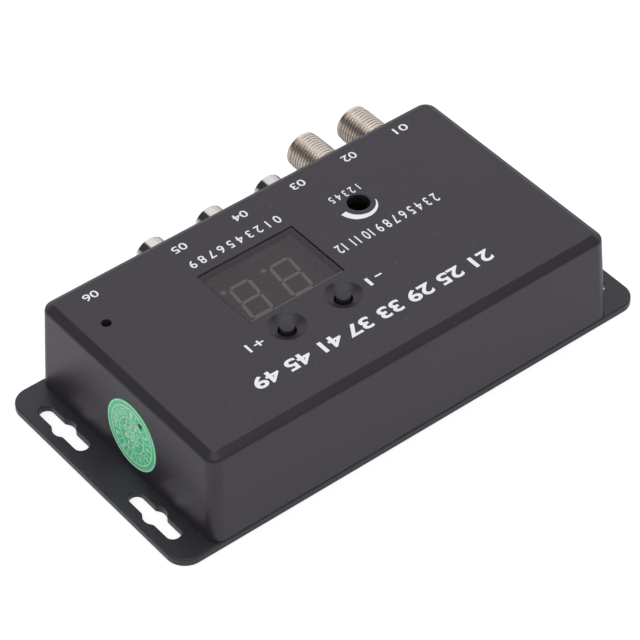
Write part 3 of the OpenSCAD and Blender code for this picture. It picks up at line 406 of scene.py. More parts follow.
def tool_marks():
    """Fine lines left by turning, rolling or polishing, along one axis."""
    group, b = new_effect("tool marks", [("Stretch", "NodeSocketVector", (1.0, 1.0, 1.0)),
                                         ("Line Size", "NodeSocketFloat", 0.2)],
                          [("Height", "NodeSocketFloat"), ("Tone", "NodeSocketFloat")])
    given = b.add("NodeGroupInput")
    place = b.add("ShaderNodeTexCoord").outputs["Object"]
    pulled = b.add("ShaderNodeVectorMath", {0: place, 1: given.outputs["Stretch"]}, operation="MULTIPLY")
    lines = b.add("ShaderNodeTexNoise", {"Vector": pulled.outputs[0], "Detail": 3.0,
                                         "Scale": b.math("DIVIDE", 1000.0, given.outputs["Line Size"])})
    haze = b.add("ShaderNodeTexNoise", {"Vector": place, "Detail": 3.0, "Scale": 300.0})
    out = b.add("NodeGroupOutput")
    b.join(lines.outputs["Fac"], out.inputs["Height"])
    b.join(b.ramp(haze.outputs["Fac"], 0.3, 0.7), out.inputs["Tone"])
    return group


GRAIN, DUST, WEAR, MARKS = moulding_grain(), dust_specks(), edge_wear(), tool_marks()
WORN_GREY, DUST_GREY, DUST_COVER = (150, 148, 150), (170, 168, 166), 0.55


def set_inputs(node, values):
    """Sets a node's inputs by name, with an underscore for each space."""
    for key, value in values.items():
        node.inputs[key.replace("_", " ")].default_value = value


def new_finish(name, **constants):
    """A material with its shader, whose plain values are set on the shader's own sockets."""
    material = bpy.data.materials.new(name)
    material.use_nodes = True
    b = Board(material.node_tree)
    shader = material.node_tree.nodes["Principled BSDF"]
    set_inputs(shader, constants)
    return material, b, shader


def effect(b, group, **values):
    """One of the effects, with its plain values set."""
    node = b.add("ShaderNodeGroup", node_tree=group)
    set_inputs(node, values)
    return node


def moulded(name, colour, pale, roughness, grain=0.25, relief=0.02, dust=0.0, wear=0.0, tone=14.0,
            **constants):
    """Moulded plastic: grain, a slow change of tone, and dust and paler edges where asked for."""
    material, b, shader = new_finish(name, **constants)
    texture = effect(b, GRAIN, Grain_Size=grain, Tone_Size=tone)
    colour_now = b.blend(texture.outputs["Tone"], paint(*colour), paint(*pale))
    if wear:
        worn = effect(b, WEAR, Reach=0.35, Patch_Size=2.5)
        strength = b.math("MULTIPLY", worn.outputs["Mask"], wear)
        colour_now = b.blend(strength, colour_now, paint(*WORN_GREY))
    if dust:
        specks = effect(b, DUST, Spacing=1.7, Share=dust, Speck_Size=0.14)
        strength = b.math("MULTIPLY", specks.outputs["Mask"], DUST_COVER)
        colour_now = b.blend(strength, colour_now, paint(*DUST_GREY))
    b.join(colour_now, shader.inputs["Base Color"])
    b.join(b.ramp(texture.outputs["Tone"], 0.0, 1.0, *roughness), shader.inputs["Roughness"])
    bump = b.add("ShaderNodeBump", {"Height": texture.outputs["Height"], "Strength": 1.0,
                                    "Distance": relief * MM})
    b.join(bump.outputs["Normal"], shader.inputs["Normal"])
    return material


def plated(name, colour, dull, roughness, lines=0.12, stretch=(1.0, 1.0, 1.0), relief=0.004):
    """Plated, drawn or rolled metal: tool marks, and a haze that dulls it in places."""
    material, b, shader = new_finish(name, Metallic=1.0)
    marks = effect(b, MARKS, Stretch=stretch, Line_Size=lines)
    b.join(b.blend(marks.outputs["Tone"], paint(*colour), paint(*dull)), shader.inputs["Base Color"])
    b.join(b.ramp(marks.outputs["Tone"], 0.0, 1.0, *roughness), shader.inputs["Roughness"])
    bump = b.add("ShaderNodeBump", {"Height": marks.outputs["Height"], "Distance": relief * MM})
    b.join(bump.outputs["Normal"], shader.inputs["Normal"])
    return material


def laminate(name):
    """Green solder mask, paler where copper tracks run under it."""
    material, b, shader = new_finish(name, Coat_Weight=0.4, Coat_Roughness=0.15)
    place = b.add("ShaderNodeTexCoord").outputs["Object"]
    cells = b.add("ShaderNodeTexVoronoi", {"Vector": place, "Scale": 420.0, "Randomness": 0.6},
                  distance="MANHATTAN")
    track = b.ramp(cells.outputs["Distance"], 0.28, 0.34)
    texture = effect(b, GRAIN, Grain_Size=0.3, Tone_Size=9.0)
    mask = b.blend(texture.outputs["Tone"], paint(14, 74, 42), paint(20, 88, 52))
    b.join(b.blend(track, paint(34, 112, 66), mask), shader.inputs["Base Color"])
    b.join(b.ramp(track, 0.0, 1.0, 0.25, 0.38), shader.inputs["Roughness"])
    bump = b.add("ShaderNodeBump", {"Height": track, "Distance": 0.03 * MM})
    b.join(bump.outputs["Normal"], shader.inputs["Normal"])
    return material


def smoked(name, colour, cover, roughness):
    """Dark tinted resin that lets part of the light through, with faint wipe marks."""
    material, b, shader = new_finish(name, IOR=1.49)
    marks = effect(b, MARKS, Stretch=(1.0, 0.08, 1.0), Line_Size=0.6)
    tint = paint(*colour)
    darker = tuple(c * 0.94 for c in tint[:3]) + (1.0,)
    b.join(b.blend(marks.outputs["Tone"], tint, darker), shader.inputs["Base Color"])
    b.join(b.ramp(marks.outputs["Height"], 0.4, 0.7, roughness, roughness + 0.03), shader.inputs["Roughness"])
    b.join(b.ramp(marks.outputs["Tone"], 0.0, 1.0, cover, cover + 0.02), shader.inputs["Alpha"])
    return material


# Moulded finishes: name, colour, paler colour, roughness at each end of the tone, and what differs from plain
MOULDED = [
    ("housing_plastic", (50, 47, 53), (51, 48, 54), (0.36, 0.38), dict(relief=0.012, dust=0.12, wear=0.12)),
    ("base_plastic", (46, 44, 49), (47, 45, 50), (0.38, 0.4), dict(relief=0.014, dust=0.16, wear=0.25)),
    ("button_plastic", (42, 39, 47), (44, 41, 49), (0.26, 0.3), dict(relief=0.01, tone=3.0)),
    ("black_tape", (18, 18, 19), (24, 23, 24), (0.6, 0.75), dict(relief=0.02, tone=2.0)),
    ("display_face", (40, 34, 32), (46, 39, 37), (0.5, 0.6), dict(tone=6.0)),
    ("segment_resin", (226, 198, 180), (230, 204, 187), (0.35, 0.5), dict(tone=3.0)),
    ("black_moulding", (28, 27, 28), (34, 33, 34), (0.45, 0.6), dict(tone=4.0)),
    ("chip_resin", (30, 30, 31), (38, 38, 40), (0.5, 0.68), dict(relief=0.03, tone=2.0)),
    ("trimmer_body", (38, 58, 118), (46, 66, 128), (0.35, 0.5), dict(tone=3.0)),
    ("trimmer_white", (196, 192, 182), (210, 206, 196), (0.4, 0.55), dict(tone=2.0)),
    ("white_insulator", (214, 211, 202), (226, 224, 216), (0.4, 0.55), dict(tone=3.0)),
    ("video_yellow", (224, 182, 24), (232, 192, 34), (0.28, 0.4), dict(tone=4.0)),
    ("left_white", (220, 218, 212), (230, 229, 224), (0.28, 0.4), dict(tone=4.0)),
    ("right_red", (168, 24, 26), (182, 32, 32), (0.28, 0.4), dict(tone=4.0)),
    ("capacitor_sleeve", (24, 26, 40), (30, 33, 50), (0.25, 0.35), dict(tone=5.0, Coat_Weight=0.3)),
    ("seal_rubber", (26, 25, 25), (34, 33, 32), (0.7, 0.8), dict(tone=2.0)),
    ("sticker_paper", (80, 234, 154), (112, 242, 178), (0.3, 0.42), dict(grain=0.5, tone=5.0)),
    ("white_ink", (240, 240, 243), (244, 244, 246), (0.45, 0.6), dict(grain=0.15, relief=0.004, tone=3.0)),
    # The next finish is a painted highlight: the pale grey of the strip along the pane's near edge
    ("highlight_grey", (112, 110, 114), (124, 122, 126), (0.5, 0.6), dict(tone=2.0)),
    ("sticker_pale", (244, 254, 248), (247, 255, 251), (0.3, 0.42), dict(tone=3.0)),
    ("sticker_dark", (20, 84, 52), (26, 96, 60), (0.3, 0.42), dict(tone=3.0)),
]

# Metals: name, colour, dulled colour, roughness at each end of the haze, and what differs from plain
PLATED = [
    ("tinned_leads", (196, 194, 188), (170, 168, 162), (0.3, 0.45), {}),
    ("stamped_steel", (198, 197, 194), (176, 174, 170), (0.22, 0.4), dict(stretch=(1.0, 0.05, 1.0))),
    ("dome_steel", (204, 203, 200), (186, 184, 180), (0.15, 0.3), {}),
    ("nickel_plate", (250, 242, 230), (242, 233, 220), (0.26, 0.29), dict(lines=0.3, relief=0.0005)),
    ("gilt_contact", (212, 176, 104), (188, 150, 84), (0.2, 0.35), {}),
    ("tinplate", (206, 206, 202), (184, 184, 180), (0.25, 0.42), dict(stretch=(0.05, 1.0, 1.0))),
    ("bright_plate", (247, 245, 238), (238, 236, 229), (0.03, 0.08), dict(stretch=(0.05, 1.0, 0.05))),
]

# Tinted resins: name, colour, how much they cover what lies behind, and roughness
SMOKED = [
    ("smoked_pane", (84, 79, 82), 0.42, 0.03),
    ("lens_resin", (60, 20, 20), 0.5, 0.1),
]

finishes = {"board_laminate": laminate("board_laminate")}
for name, colour, pale, roughness, extras in MOULDED:
    finishes[name] = moulded(name, colour, pale, roughness, **extras)
for name, colour, dull, roughness, extras in PLATED:
    finishes[name] = plated(name, colour, dull, roughness, **extras)
for row in SMOKED:
    finishes[row[0]] = smoked(*row)

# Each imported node's slots carry the record's slot names, perhaps with a number after a point
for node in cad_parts.values():
    for holder in node.material_slots:
        holder.material = finishes[holder.material.name.split(".")[0]]


# Housing and base plate

def lip_cut(outline, floor_z, lip):
    """A straight cut through the roof down to a height, with a small round at its upper edge."""
    levels = [(ROOF_Z + 1, lip), (ROOF_Z + 0.002, lip)]
    steps = 4
    for i in range(1, steps + 1):
        a = math.radians(90 * i / steps)
        levels.append((ROOF_Z - lip * (1 - math.cos(a)), lip * (1 - math.sin(a))))
    levels.append((floor_z, 0.0))
    return skin([[(x, y, z) for x, y in spread(outline, gap)] for z, gap in reversed(levels)])


def dish_cut(x, y):
    """The well round a button: a soft lip, a bowl, and the hole for the stem."""
    ball = (DISH_R ** 2 + DISH_DEPTH ** 2) / (2 * DISH_DEPTH)
    middle_z = ROOF_Z - DISH_DEPTH + ball
    rim_angle = math.asin(DISH_R / ball)
    lip, lip_steps, bowl_steps = 0.5, 6, 10
    lip_r = DISH_R + lip * math.tan(rim_angle / 2)
    profile = [(0, ROOF_Z + 1), (lip_r + 1.2, ROOF_Z + 1), (lip_r - 0.05, ROOF_Z + 0.001)]
    for i in range(1, lip_steps + 1):
        a = rim_angle * i / lip_steps
        profile.append((lip_r - lip * math.sin(a), ROOF_Z - lip * (1 - math.cos(a))))
    start = math.asin(profile[-1][0] / ball)
    end = math.asin(BUTTON_HOLE_R / ball)
    for i in range(1, bowl_steps + 1):
        a = start + (end - start) * i / bowl_steps
        profile.append((ball * math.sin(a), middle_z - ball * math.cos(a)))
    profile += [(BUTTON_HOLE_R, CEILING_Z - OVER), (0, CEILING_Z - OVER)]
    return moved(turned(profile), x, y)


def rod(radius, low, high, segments):
    """A round rod about Z between two heights."""
    return turned([(0, low), (radius, low), (radius, high), (0, high)], segments)


def housing_outside():
    """The skin that leans inwards, with a chamfer at the crown and every edge rounded."""
    path = rounded_path([(1.2, PLATE_T), (0, PLATE_T), (DRAFT, RIM_Z), (DRAFT + CHAMFER_WID, ROOF_Z),
                         (DRAFT + CHAMFER_WID + 1, ROOF_Z)], [0.25, 1.1, 0.55])[1:-1]
    foot_z = PLATE_T + 1
    loops = []
    for inset, z in path:
        radius = HOUSING_CORNER - (inset if z < foot_z else max(0, inset - DRAFT))
        loops.append(rounded_loop(HOUSING_LEN - 2 * inset, HOUSING_WID - 2 * inset, radius, z, 10))
    return skin(loops)


def housing_cavity():
    """The hollow under the roof, whose walls lean as the outside does."""
    loops = []
    for z in (PLATE_T - OVER, CEILING_Z):
        inset = lean(z) + WALL_T
        loops.append(rounded_loop(HOUSING_LEN - 2 * inset, HOUSING_WID - 2 * inset, CAVITY_CORNER, z, 6))
    return skin(loops)


def housing_supports():
    """The screw pillars with their braces, and the board pillars with their crossed ribs."""
    top = (CEILING_Z + ROOF_Z) / 2
    forms = []
    for sx, sy in CORNERS:
        x, y = sx * PILLAR_X, sy * PILLAR_Y
        forms.append(moved(rod(PILLAR_D / 2, PLATE_T, top, 48), x, y))
        x0, x1 = sorted((x, sx * (PILLAR_X + BRACE_LEN)))
        forms.append(bar(x0, x1, y - RIB_HALF_T, y + RIB_HALF_T, CEILING_Z - BRACE_DROP, top))
    for x, y in BOARD_PILLARS:
        forms.append(moved(rod(BOARD_PILLAR_D / 2, BOARD_TOP, top, 48), x, y))
        for along, across in ((RIB_REACH, RIB_HALF_T), (RIB_HALF_T, RIB_REACH)):
            forms.append(bar(x - along, x + along, y - across, y + across, CEILING_Z - RIB_DROP, top))
    return joined(*forms)


def housing_openings():
    """The wells, the window's pocket, the round roof holes, the sockets' openings and the screw bores."""
    through = CEILING_Z - OVER
    forms = [dish_cut(x, y) for x, y in BUTTONS.values()]
    forms.append(lip_cut(rectangle(*WINDOW), ROOF_Z - POCKET_DEPTH, 0.18))
    forms.append(lip_cut(circle(*TRIMMER), through, 0.15))
    forms.append(lip_cut(circle(*LIGHT, 48), through, 0.12))
    for places, radius in ((AERIALS, AERIAL_HOLE_R), (PHONOS, COLLAR_HOLE_R)):
        for x in places.values():
            forms.append(facing_sockets(rod(radius, 0, WALL_CUT_DEPTH, ROUND), x, WALL_CUT_Y, AXIS_Z))
    x, z, length, width, radius = POWER_PORT
    port = skin([rounded_loop(length, width, radius, depth, 8) for depth in (0, WALL_CUT_DEPTH)])
    forms.append(facing_sockets(port, x, WALL_CUT_Y, z))
    for sx, sy in CORNERS:
        bore = rod(PILLAR_BORE_R, PLATE_T - OVER, PILLAR_BORE_TOP, 32)
        forms.append(moved(bore, sx * PILLAR_X, sy * PILLAR_Y))
    for x, y in BOARD_PILLARS:
        forms.append(moved(rod(BOARD_BORE_R, BOARD_TOP - OVER, BOARD_BORE_TOP, 32), x, y))
    return joined(*forms)


def window_opening():
    """The opening inside the ledge that the pane rests on."""
    x, y, length, width = WINDOW
    outline = rectangle(x, y, length - 2 * WINDOW_LEDGE, width - 2 * WINDOW_LEDGE)
    return skin([[(x, y, z) for x, y in outline] for z in (CEILING_Z - OVER, ROOF_Z - POCKET_DEPTH + 0.3)])


def build_housing():
    """The moulded shell: leaning walls, chamfered crown, rounded edges, wells, pocket and pillars."""
    shell = new_object("housing_shell", housing_outside())
    carve(shell, housing_cavity())
    carve(shell, housing_supports(), "UNION", overlapping=True)
    carve(shell, housing_openings())
    carve(shell, window_opening())
    soft_shaded(shell)
    fitted(shell, "housing_plastic", stands_for="top_housing")


def build_hole_painted_shade():
    """A thin black sleeve in the trimmer hole's wall: painted shade, which keeps the wall darker than the
    lamp would leave it.
    """
    x, y, radius = TRIMMER
    inner, outer, top = radius - 0.1, radius + 0.02, ROOF_Z - 0.24
    profile = rounded_path([(inner, CEILING_Z), (outer, CEILING_Z), (outer, top), (inner, top),
                            (inner, CEILING_Z)], [0.03, 0.03, 0.04], 4)[:-1]
    shade_sleeve = new_object("trimmer_hole_painted_shade", moved(turned(profile, closed=True), x, y))
    soft_shaded(shade_sleeve, 40)
    fitted(shade_sleeve, "black_moulding")


def plate_ribs():
    """Four low ribs that locate the housing's walls from inside."""
    face_x, face_y, run_x, run_y, thick, top = 55.152, 30.602, 93.09, 33.8, 1.2, 4
    forms = []
    for side in (-1, 1):
        x0, x1 = sorted((side * face_x, side * (face_x - thick)))
        forms.append(bar(x0, x1, -run_y / 2, run_y / 2, PLATE_T - OVER, top))
        y0, y1 = sorted((side * face_y, side * (face_y - thick)))
        forms.append(bar(-run_x / 2, run_x / 2, y0, y1, PLATE_T - OVER, top))
    return joined(*forms)


def plate_openings():
    """A fixing slot with rounded edges and a countersunk screw hole at each corner."""
    slot_levels = [(-0.5, 0.2), (0.0, 0.2), (0.06, 0.1), (0.2, 0.0), (1.75, 0.0), (1.85, 0.03), (1.94, 0.1),
                   (2.0, 0.25), (2.5, 0.25)]
    screw_hole = [(0, -0.5), (3.433, -0.5), (1.7, 1.5), (1.7, 2.5), (0, 2.5)]
    forms = []
    for sx, sy in CORNERS:
        outline = slot_outline(sx * SLOT_X, sy * SLOT_Y)
        forms.append(skin([[(x, y, z) for x, y in spread(outline, gap)] for z, gap in slot_levels]))
        forms.append(moved(turned(screw_hole, 48), sx * PILLAR_X, sy * PILLAR_Y))
    return joined(*forms)


def build_plate():
    """The base plate: rounded edges, slots with a bulge, countersunk holes and locating ribs."""
    length, width, radius = PLATE
    path = rounded_path([(1, 0), (0, 0), (0, PLATE_T), (1, PLATE_T)], [0.3, 0.4], 5)[1:-1]
    loops = [rounded_loop(length - 2 * inset, width - 2 * inset, radius - inset, z, 14) for inset, z in path]
    plate = new_object("flanged_base", skin(loops))
    carve(plate, plate_ribs(), "UNION")
    carve(plate, plate_openings())
    soft_shaded(plate)
    fitted(plate, "base_plastic", stands_for="base_plate")


# Sockets and buttons

def build_barrel(name, node, x):
    """An aerial socket's barrel: flange, plain neck, helical thread, smooth mouth and bore."""
    seat_y, around = -29.5925, 80
    bore, flange, neck, mouth = 3.3, 5.5, 4.5, 4.62
    crest, root, pitch, rows_a_turn = 4.76, 4.2, 0.9, 14
    start, end, tip = 3.47, 14.75, 15.77
    run_out, groove_share = 0.4, 0.5

    def ring(r, h):
        return [(px, py, h) for px, py in circle(0, 0, r, around)]

    rings = [ring(r, h) for r, h in ((bore, -1.2), (flange, -1.2), (flange, 0.0), (neck, 0.0),
                                     (neck, start - 0.3), (root, start))]
    rows = int((end - start) / pitch * rows_a_turn)
    for k in range(1, rows):
        h = start + (end - start) * k / rows
        fade = min(1, (h - start) / run_out, (end - h) / run_out)
        row = []
        for i in range(around):
            turn = (h / pitch - i / around) % 1
            rise = 0.5 - 0.5 * math.cos(math.pi * min(1, abs(2 * turn - 1) / groove_share))
            r = root + (crest - root) * rise * fade
            a = 2 * math.pi * i / around
            row.append((r * math.cos(a), r * math.sin(a), h))
        rings.append(row)
    lip = rounded_path([(root, end), (mouth, end + 0.12), (mouth, tip), (bore, tip), (bore, tip - 1.2)],
                       [0.05, 0.35, 0.2], 4)
    rings += [ring(r, h) for r, h in lip]
    faces = []
    for k in range(len(rings)):
        k2 = (k + 1) % len(rings)
        for i in range(around):
            j = (i + 1) % around
            faces.append((k * around + i, k * around + j, k2 * around + j, k2 * around + i))
    points = [p for row in rings for p in row]
    barrel = new_object(name, facing_sockets((points, faces), x, seat_y, AXIS_Z))
    soft_shaded(barrel, 100, weighted=False)
    fitted(barrel, "nickel_plate", stands_for=node)


def build_sleeve(name, node, x):
    """A phono socket's plated sleeve with a rounded mouth."""
    low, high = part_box(node)
    foot, mouth = -high[1] / MM, -low[1] / MM
    inner, middle, outer = 3.85, 4.0, 4.15
    profile = rounded_path([(middle, foot), (outer, foot), (outer, mouth), (inner, mouth), (inner, foot),
                            (middle, foot)], [0.03, 0.13, 0.13, 0.03], 5)[:-1]
    sleeve = new_object(name, facing_sockets(turned(profile, 128, closed=True), x, 0, AXIS_Z))
    soft_shaded(sleeve, 40)
    fitted(sleeve, "bright_plate", stands_for=node)


def build_dome(name, node, x, y):
    """A switch's snap dome, a shallow sprung disc under the button's nub, on a mesh of its own."""
    low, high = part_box(node)
    floor, top = low[2] / MM, high[2] / MM
    rim, thick, steps = 2.2, 0.1, 10
    ball = (rim ** 2 + (top - floor) ** 2) / (2 * (top - floor))
    hollow = math.sqrt((ball - thick) ** 2 - (ball - top + floor) ** 2)

    def arc(reach, radius):
        return [(reach * k / steps, top - ball + math.sqrt(radius ** 2 - (reach * k / steps) ** 2))
                for k in range(steps + 1)]

    profile = arc(rim, ball) + arc(hollow, ball - thick)[::-1]
    dome = new_object(name, moved(turned(profile, 64), x, y))
    soft_shaded(dome, 40, weighted=False)
    fitted(dome, "dome_steel", stands_for=node)
    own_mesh(dome)


def build_button(name, node, x, y):
    """A channel button: a stem with a rounded, slightly domed tip, its foot and its nub."""
    low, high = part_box(node)
    nub_z, tip_z = low[2] / MM, high[2] / MM
    foot_z, foot_top, dome = 11.36, 12.36, 0.1
    nub, foot, stem = 0.875, 2.25, 1.75
    profile = rounded_path([(0, nub_z), (nub, nub_z), (nub, foot_z), (foot, foot_z), (foot, foot_top),
                            (stem, foot_top), (stem, tip_z - dome), (0, tip_z)],
                           [0.1, 0, 0.15, 0.15, 0, 0.2], 6)
    button = new_object(name, moved(turned(profile, 64), x, y))
    soft_shaded(button, 40, weighted=False)
    fitted(button, "button_plastic", body=node, stands_for=node)


build_housing()
build_plate()
for node, (x, y) in BUTTONS.items():
    side = node.replace("_button", "")
    build_dome(side + "_snap_disc", side + "_dome", x, y)
build_hole_painted_shade()
for node, x in AERIALS.items():
    build_barrel(node.replace("barrel", "threaded_barrel"), node, x)
for node, x in PHONOS.items():
    build_sleeve(node.replace("sleeve", "plated_sleeve"), node, x)
for node, (x, y) in BUTTONS.items():
    build_button(node.replace("button", "cap"), node, x, y)


# Prints

def printed_words(words, left, right, foot, cap_top, bold, turn=0.0):
    """Marks as a thin raised form on a flat place: across, up, and 0 below or 1 above."""
    curve = bpy.data.curves.new("type", "FONT")
    curve.body, curve.offset, curve.extrude = words, bold, 0.01
    curve.resolution_u = 6
    maker = bpy.data.objects.new("type", curve)
    bpy.context.collection.objects.link(maker)
    bpy.context.view_layer.update()
    mesh = bpy.data.meshes.new_from_object(maker.evaluated_get(bpy.context.evaluated_depsgraph_get()))
    bpy.data.objects.remove(maker)
    work = bmesh.new()
    work.from_mesh(mesh)
    bmesh.ops.remove_doubles(work, verts=work.verts, dist=1e-5)
    work.verts.index_update()
    places = [tuple(v.co) for v in work.verts]
    faces = [tuple(v.index for v in face.verts) for face in work.faces]
    work.free()
    bpy.data.meshes.remove(mesh)
    xs, ys = [p[0] for p in places], [p[1] for p in places]
    sx, sy = (right - left) / (max(xs) - min(xs)), (cap_top - foot) / (max(ys) - min(ys))
    c, s = math.cos(turn), math.sin(turn)
    points = []
    for x, y, z in places:
        across, up = left + (x - min(xs)) * sx, foot + (y - min(ys)) * sy
        points.append((across * c - up * s, across * s + up * c, 1 if z > 0 else 0))
    return points, faces


# The four long sides of a strip, each between two of its edges: lower near and far, upper near and far
STRIP_SIDES = ((0, 1), (1, 3), (3, 2), (2, 0))


def printed_plate(outline):
    """A closed outline as a thin raised form."""
    n = len(outline)
    points = [(x, y, side) for side in (0, 1) for x, y in outline]
    faces = [tuple(reversed(range(n))), tuple(range(n, 2 * n))]
    faces += [(i, (i + 1) % n, n + (i + 1) % n, n + i) for i in range(n)]
    return points, faces


def printed_ring(inner, outer):
    """A flat ring as a thin raised form."""
    n = ROUND
    points = [(x, y, side) for side in (0, 1) for r in (inner, outer) for x, y in circle(0, 0, r, n)]
    faces = []
    for i in range(n):
        j = (i + 1) % n
        for a, b in STRIP_SIDES:
            faces.append((a * n + i, a * n + j, b * n + j, b * n + i))
    return points, faces


def printed_strip(near, far):
    """The strip between two edges that run side by side, as a thin raised form."""
    n = len(near)
    points = [(x, y, side) for side in (0, 1) for edge in (near, far) for x, y in edge]
    faces = [(0, n, 3 * n, 2 * n), (n - 1, 3 * n - 1, 4 * n - 1, 2 * n - 1)]
    for i in range(n - 1):
        for a, b in STRIP_SIDES:
            faces.append((a * n + i, a * n + i + 1, b * n + i + 1, b * n + i))
    return points, faces


def on_roof(form):
    """Lays a print on the roof, sunk a little so that no gap shows under it."""
    rise, sink = 0.012, 0.03
    points, faces = form
    return [(x, y, ROOF_Z + (rise if side else -sink)) for x, y, side in points], faces


def on_sticker(form, rise):
    """Lays a print on the round sticker: across is the object's Y, up climbs the leaning wall."""
    tilt = math.atan2(DRAFT, RIM_Z - PLATE_T)
    wall_x = HOUSING_LEN / 2 - lean(STICKER_Z)
    sink = 0.04
    points, faces = form
    placed = []
    for across, up, side in points:
        out = STICKER_T + (rise if side else -sink)
        placed.append((wall_x - up * math.sin(tilt) + out * math.cos(tilt), STICKER_Y + across,
                       STICKER_Z + up * math.cos(tilt) + out * math.sin(tilt)))
    return placed, faces


# Marks on the roof: what they say, their two ends and their two heights
MARK_BOLD, TITLE_BOLD = 0.008, 0.026
ROOF_MARKS = {
    "title_marks": ("21 25 29 33 37 41 45 49", -32.0, 35.5, 17.9, 21.7, TITLE_BOLD),
    "scale_marks": ("2 3 4 5 6 7 8 9 10 11 12", -35.2, -5.6, -4.3, -1.3),
    "display_marks": ("0 1 2 3 4 5 6 7 8 9", -2.4, 23.3, -21.3, -18.7),
    "trimmer_marks": ("1 2 3 4 5", -23.3, -14.9, -18.2, -15.9),
    "minus_mark": ("-1", -8.6, -4.2, 8.5, 11.2),
    "plus_mark": ("+1", 25.4, 29.8, 8.4, 11.1),
}

# The number beside each socket, and its middle
PORT_MARKS = {"01": (-44.0, -26.8), "02": (-28.2, -26.6), "03": (-12.8, -26.5), "04": (4.2, -26.4),
              "05": (21.6, -26.4), "06": (46.5, -26.3)}
PORT_HALF_LEN, PORT_HALF_HEIGHT = 1.9, 1.15


def lettering(name, words, left, right, foot, cap_top, bold=MARK_BOLD):
    """Plain marks in ink on the roof, fitted between two ends and two heights."""
    marks = new_object(name, on_roof(printed_words(words, left, right, foot, cap_top, bold)))
    fitted(marks, "white_ink")


def level_arc():
    """The tapered arc beside the trimmer's hole, thick at one end."""
    # Each stop is an angle, and the arc's inner and outer radius there
    stops = [(9, 4.35, 5.9), (45, 4.35, 5.95), (90, 4.32, 5.35), (134.5, 4.08, 4.55), (156, 3.97, 4.15)]
    first, last, steps = stops[0][0], stops[-1][0], 49
    near, far = [], []
    for i in range(steps + 1):
        angle = first + (last - first) * i / steps
        k = max(j for j in range(len(stops) - 1) if stops[j][0] <= angle)
        share = (angle - stops[k][0]) / (stops[k + 1][0] - stops[k][0])
        inner, outer = (stops[k][e] + (stops[k + 1][e] - stops[k][e]) * share for e in (1, 2))
        a = math.radians(angle)
        far.append((TRIMMER[0] + outer * math.cos(a), TRIMMER[1] + outer * math.sin(a)))
        near.append((TRIMMER[0] + inner * math.cos(a), TRIMMER[1] + inner * math.sin(a)))
    arc = new_object("level_arc", on_roof(printed_strip(near, far)))
    fitted(arc, "white_ink")


def sticker_print():
    """The sticker's pale rings, twelve numbered fields and plain numbers, and its dark mark."""
    fields, bold = 12, 0.01
    forms = [printed_ring(8.6, 8.85), printed_ring(7.35, 7.6), printed_ring(4.4, 4.62)]
    for i in range(fields):
        a = math.radians(360 / fields * i)
        half = 0.85 if i > 8 else 0.45
        forms.append(printed_words(str(i + 1), -half, half, 5.15, 6.85, bold, -a))
        edge = a + math.radians(180 / fields)
        c, s = math.cos(edge), math.sin(edge)
        spoke = ((4.55, -0.07), (7.4, -0.07), (7.4, 0.07), (4.55, 0.07))
        forms.append(printed_plate([(x * c - y * s, x * s + y * c) for x, y in spoke]))
    forms.append(printed_words("123", -2.0, 2.0, 2.2, 3.6, bold))
    forms.append(printed_words("4567", -3.1, 3.1, 0.4, 1.8, bold))
    forms.append(printed_plate(rectangle(0, 0, 8.8, 0.16)))
    forms.append(printed_words("890", -2.6, 2.6, -1.9, -0.5, bold))
    forms.append(printed_words("12", -1.3, 1.3, -3.6, -2.3, bold))
    pale = new_object("sticker_marks", joined(*[on_sticker(form, 0.04) for form in forms]))
    fitted(pale, "sticker_pale")
    mark = printed_plate(circle(3.3, 5.2, 0.75, 24))
    dark = new_object("sticker_dark_mark", on_sticker(mark, 0.05))
    fitted(dark, "sticker_dark")


def pane_edge_highlight():
    """A pale grey strip along the pane's edge beside the buttons: a painted highlight where the edge catches
    the light.
    """
    low, high = (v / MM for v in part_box("display_window"))
    inset, depth, proud, height, lift = 0.4, 0.11, 0.01, 0.4, 0.006
    strip = new_object("pane_painted_highlight", bar(low.x + inset, high.x - inset, high.y - depth, high.y + proud,
                                             high.z - height, high.z + lift))
    fitted(strip, "highlight_grey")


for name, row in ROOF_MARKS.items():
    lettering(name, *row)
for number, (x, y) in PORT_MARKS.items():
    lettering("port_mark_" + number, number, x - PORT_HALF_LEN, x + PORT_HALF_LEN,
              y - PORT_HALF_HEIGHT, y + PORT_HALF_HEIGHT)
level_arc()
sticker_print()
pane_edge_highlight()


# Studio

WHITE = (1.0, 1.0, 1.0, 1.0)


def rays(b):
    """Two masks: rays that see the background itself, and rays that see it mirrored."""
    path = b.add("ShaderNodeLightPath")
    seen = b.math("MAXIMUM", path.outputs["Is Camera Ray"], path.outputs["Is Transmission Ray"])
    return seen, path.outputs["Is Glossy Ray"]


def stage_floor():
    """A wide grey floor that shows white. What is glossy sees its near part as a pale card."""
    half, top, thick = 1500, -0.02, 19.98
    floor = new_object("floor", bar(-half, half, -half, half, top - thick, top))
    material, b, shader = new_finish("floor_sweep", Roughness=0.9)
    seen, glossy = rays(b)
    place = b.add("ShaderNodeNewGeometry").outputs["Position"]
    near = b.add("ShaderNodeVectorMath", {0: place, 1: (0.61, 0.79, 0.0)}, operation="DOT_PRODUCT")
    card = b.ramp(near.outputs["Value"], -0.06, -0.02, 0.0, 0.45)
    glow = b.math("ADD", b.math("MULTIPLY", seen, 0.72), b.math("MULTIPLY", glossy, card))
    grain = b.add("ShaderNodeTexNoise", {"Scale": 40.0})
    b.join(b.ramp(grain.outputs["Fac"], 0.0, 1.0, 0.45, 0.47), shader.inputs["Base Color"])
    b.join(b.blend(seen, (1.0, 0.95, 1.07, 1.0), WHITE), shader.inputs["Emission Color"])
    b.join(glow, shader.inputs["Emission Strength"])
    floor.data.materials.append(material)


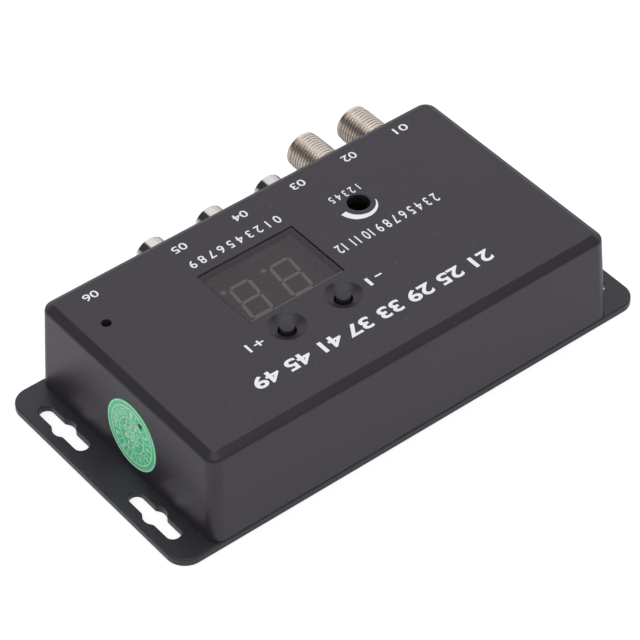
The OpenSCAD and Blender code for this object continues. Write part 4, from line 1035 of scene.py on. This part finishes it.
def studio_world():
    """White behind the object and grey light all round. Glossy faces see a bright sweep and a dark room."""
    world = bpy.data.worlds.new("studio")
    bpy.context.scene.world = world
    world.use_nodes = True
    b = Board(world.node_tree)
    background = world.node_tree.nodes["Background"]
    seen, glossy = rays(b)
    way = b.add("ShaderNodeTexCoord").outputs["Generated"]
    far = b.add("ShaderNodeVectorMath", {0: way, 1: (-0.68, -0.73, 0.0)}, operation="DOT_PRODUCT")
    height = b.add("ShaderNodeSeparateXYZ", {"Vector": way}).outputs["Z"]
    room = 0.04
    sweep = b.math("MULTIPLY", b.ramp(far.outputs["Value"], 0.33, 0.45, 0.0, 0.78),
                   b.ramp(height, 0.1, 0.5, 0.3, 1.0))
    horizon = b.ramp(height, 0.12, 0.36, 0.42, 0.0)
    mirrored = b.math("ADD", b.math("ADD", room, sweep), horizon)
    tinted = b.add("ShaderNodeVectorMath", {0: mirrored, 1: (1.0, 0.97, 1.035)}, operation="MULTIPLY")
    soft = b.blend(glossy, (0.62, 0.612, 0.635, 1.0), tinted.outputs[0])
    b.join(b.blend(seen, soft, WHITE), background.inputs["Color"])


def overhead_lamp():
    """One large soft round lamp above the object."""
    data = bpy.data.lights.new("overhead_softbox", "AREA")
    data.shape, data.size, data.energy = "DISK", 1.2, 5.0
    lamp = bpy.data.objects.new("overhead_softbox", data)
    lamp.location = (0.05, 0.1, 1.1)
    aim = Vector((0, 0, 0.01)) - lamp.location
    lamp.rotation_euler = aim.to_track_quat("-Z", "Y").to_euler()
    bpy.context.collection.objects.link(lamp)


def picture_camera():
    """The camera, fitted to the photo's straight edges and circles."""
    focal_pixels, picture_pixels, sensor = 3156.21, 640, 36.0
    data = bpy.data.cameras.new("picture_camera")
    data.sensor_width, data.lens = sensor, focal_pixels / picture_pixels * sensor
    obj = bpy.data.objects.new("picture_camera", data)
    obj.location = (0.32064, 0.41561, 0.51053)
    obj.rotation_euler = [math.radians(a) for a in (46.392, 0.997, 141.571)]
    bpy.context.collection.objects.link(obj)
    bpy.context.scene.camera = obj


stage_floor()
studio_world()
overhead_lamp()
picture_camera()
bpy.context.scene.view_settings.view_transform = "Standard"
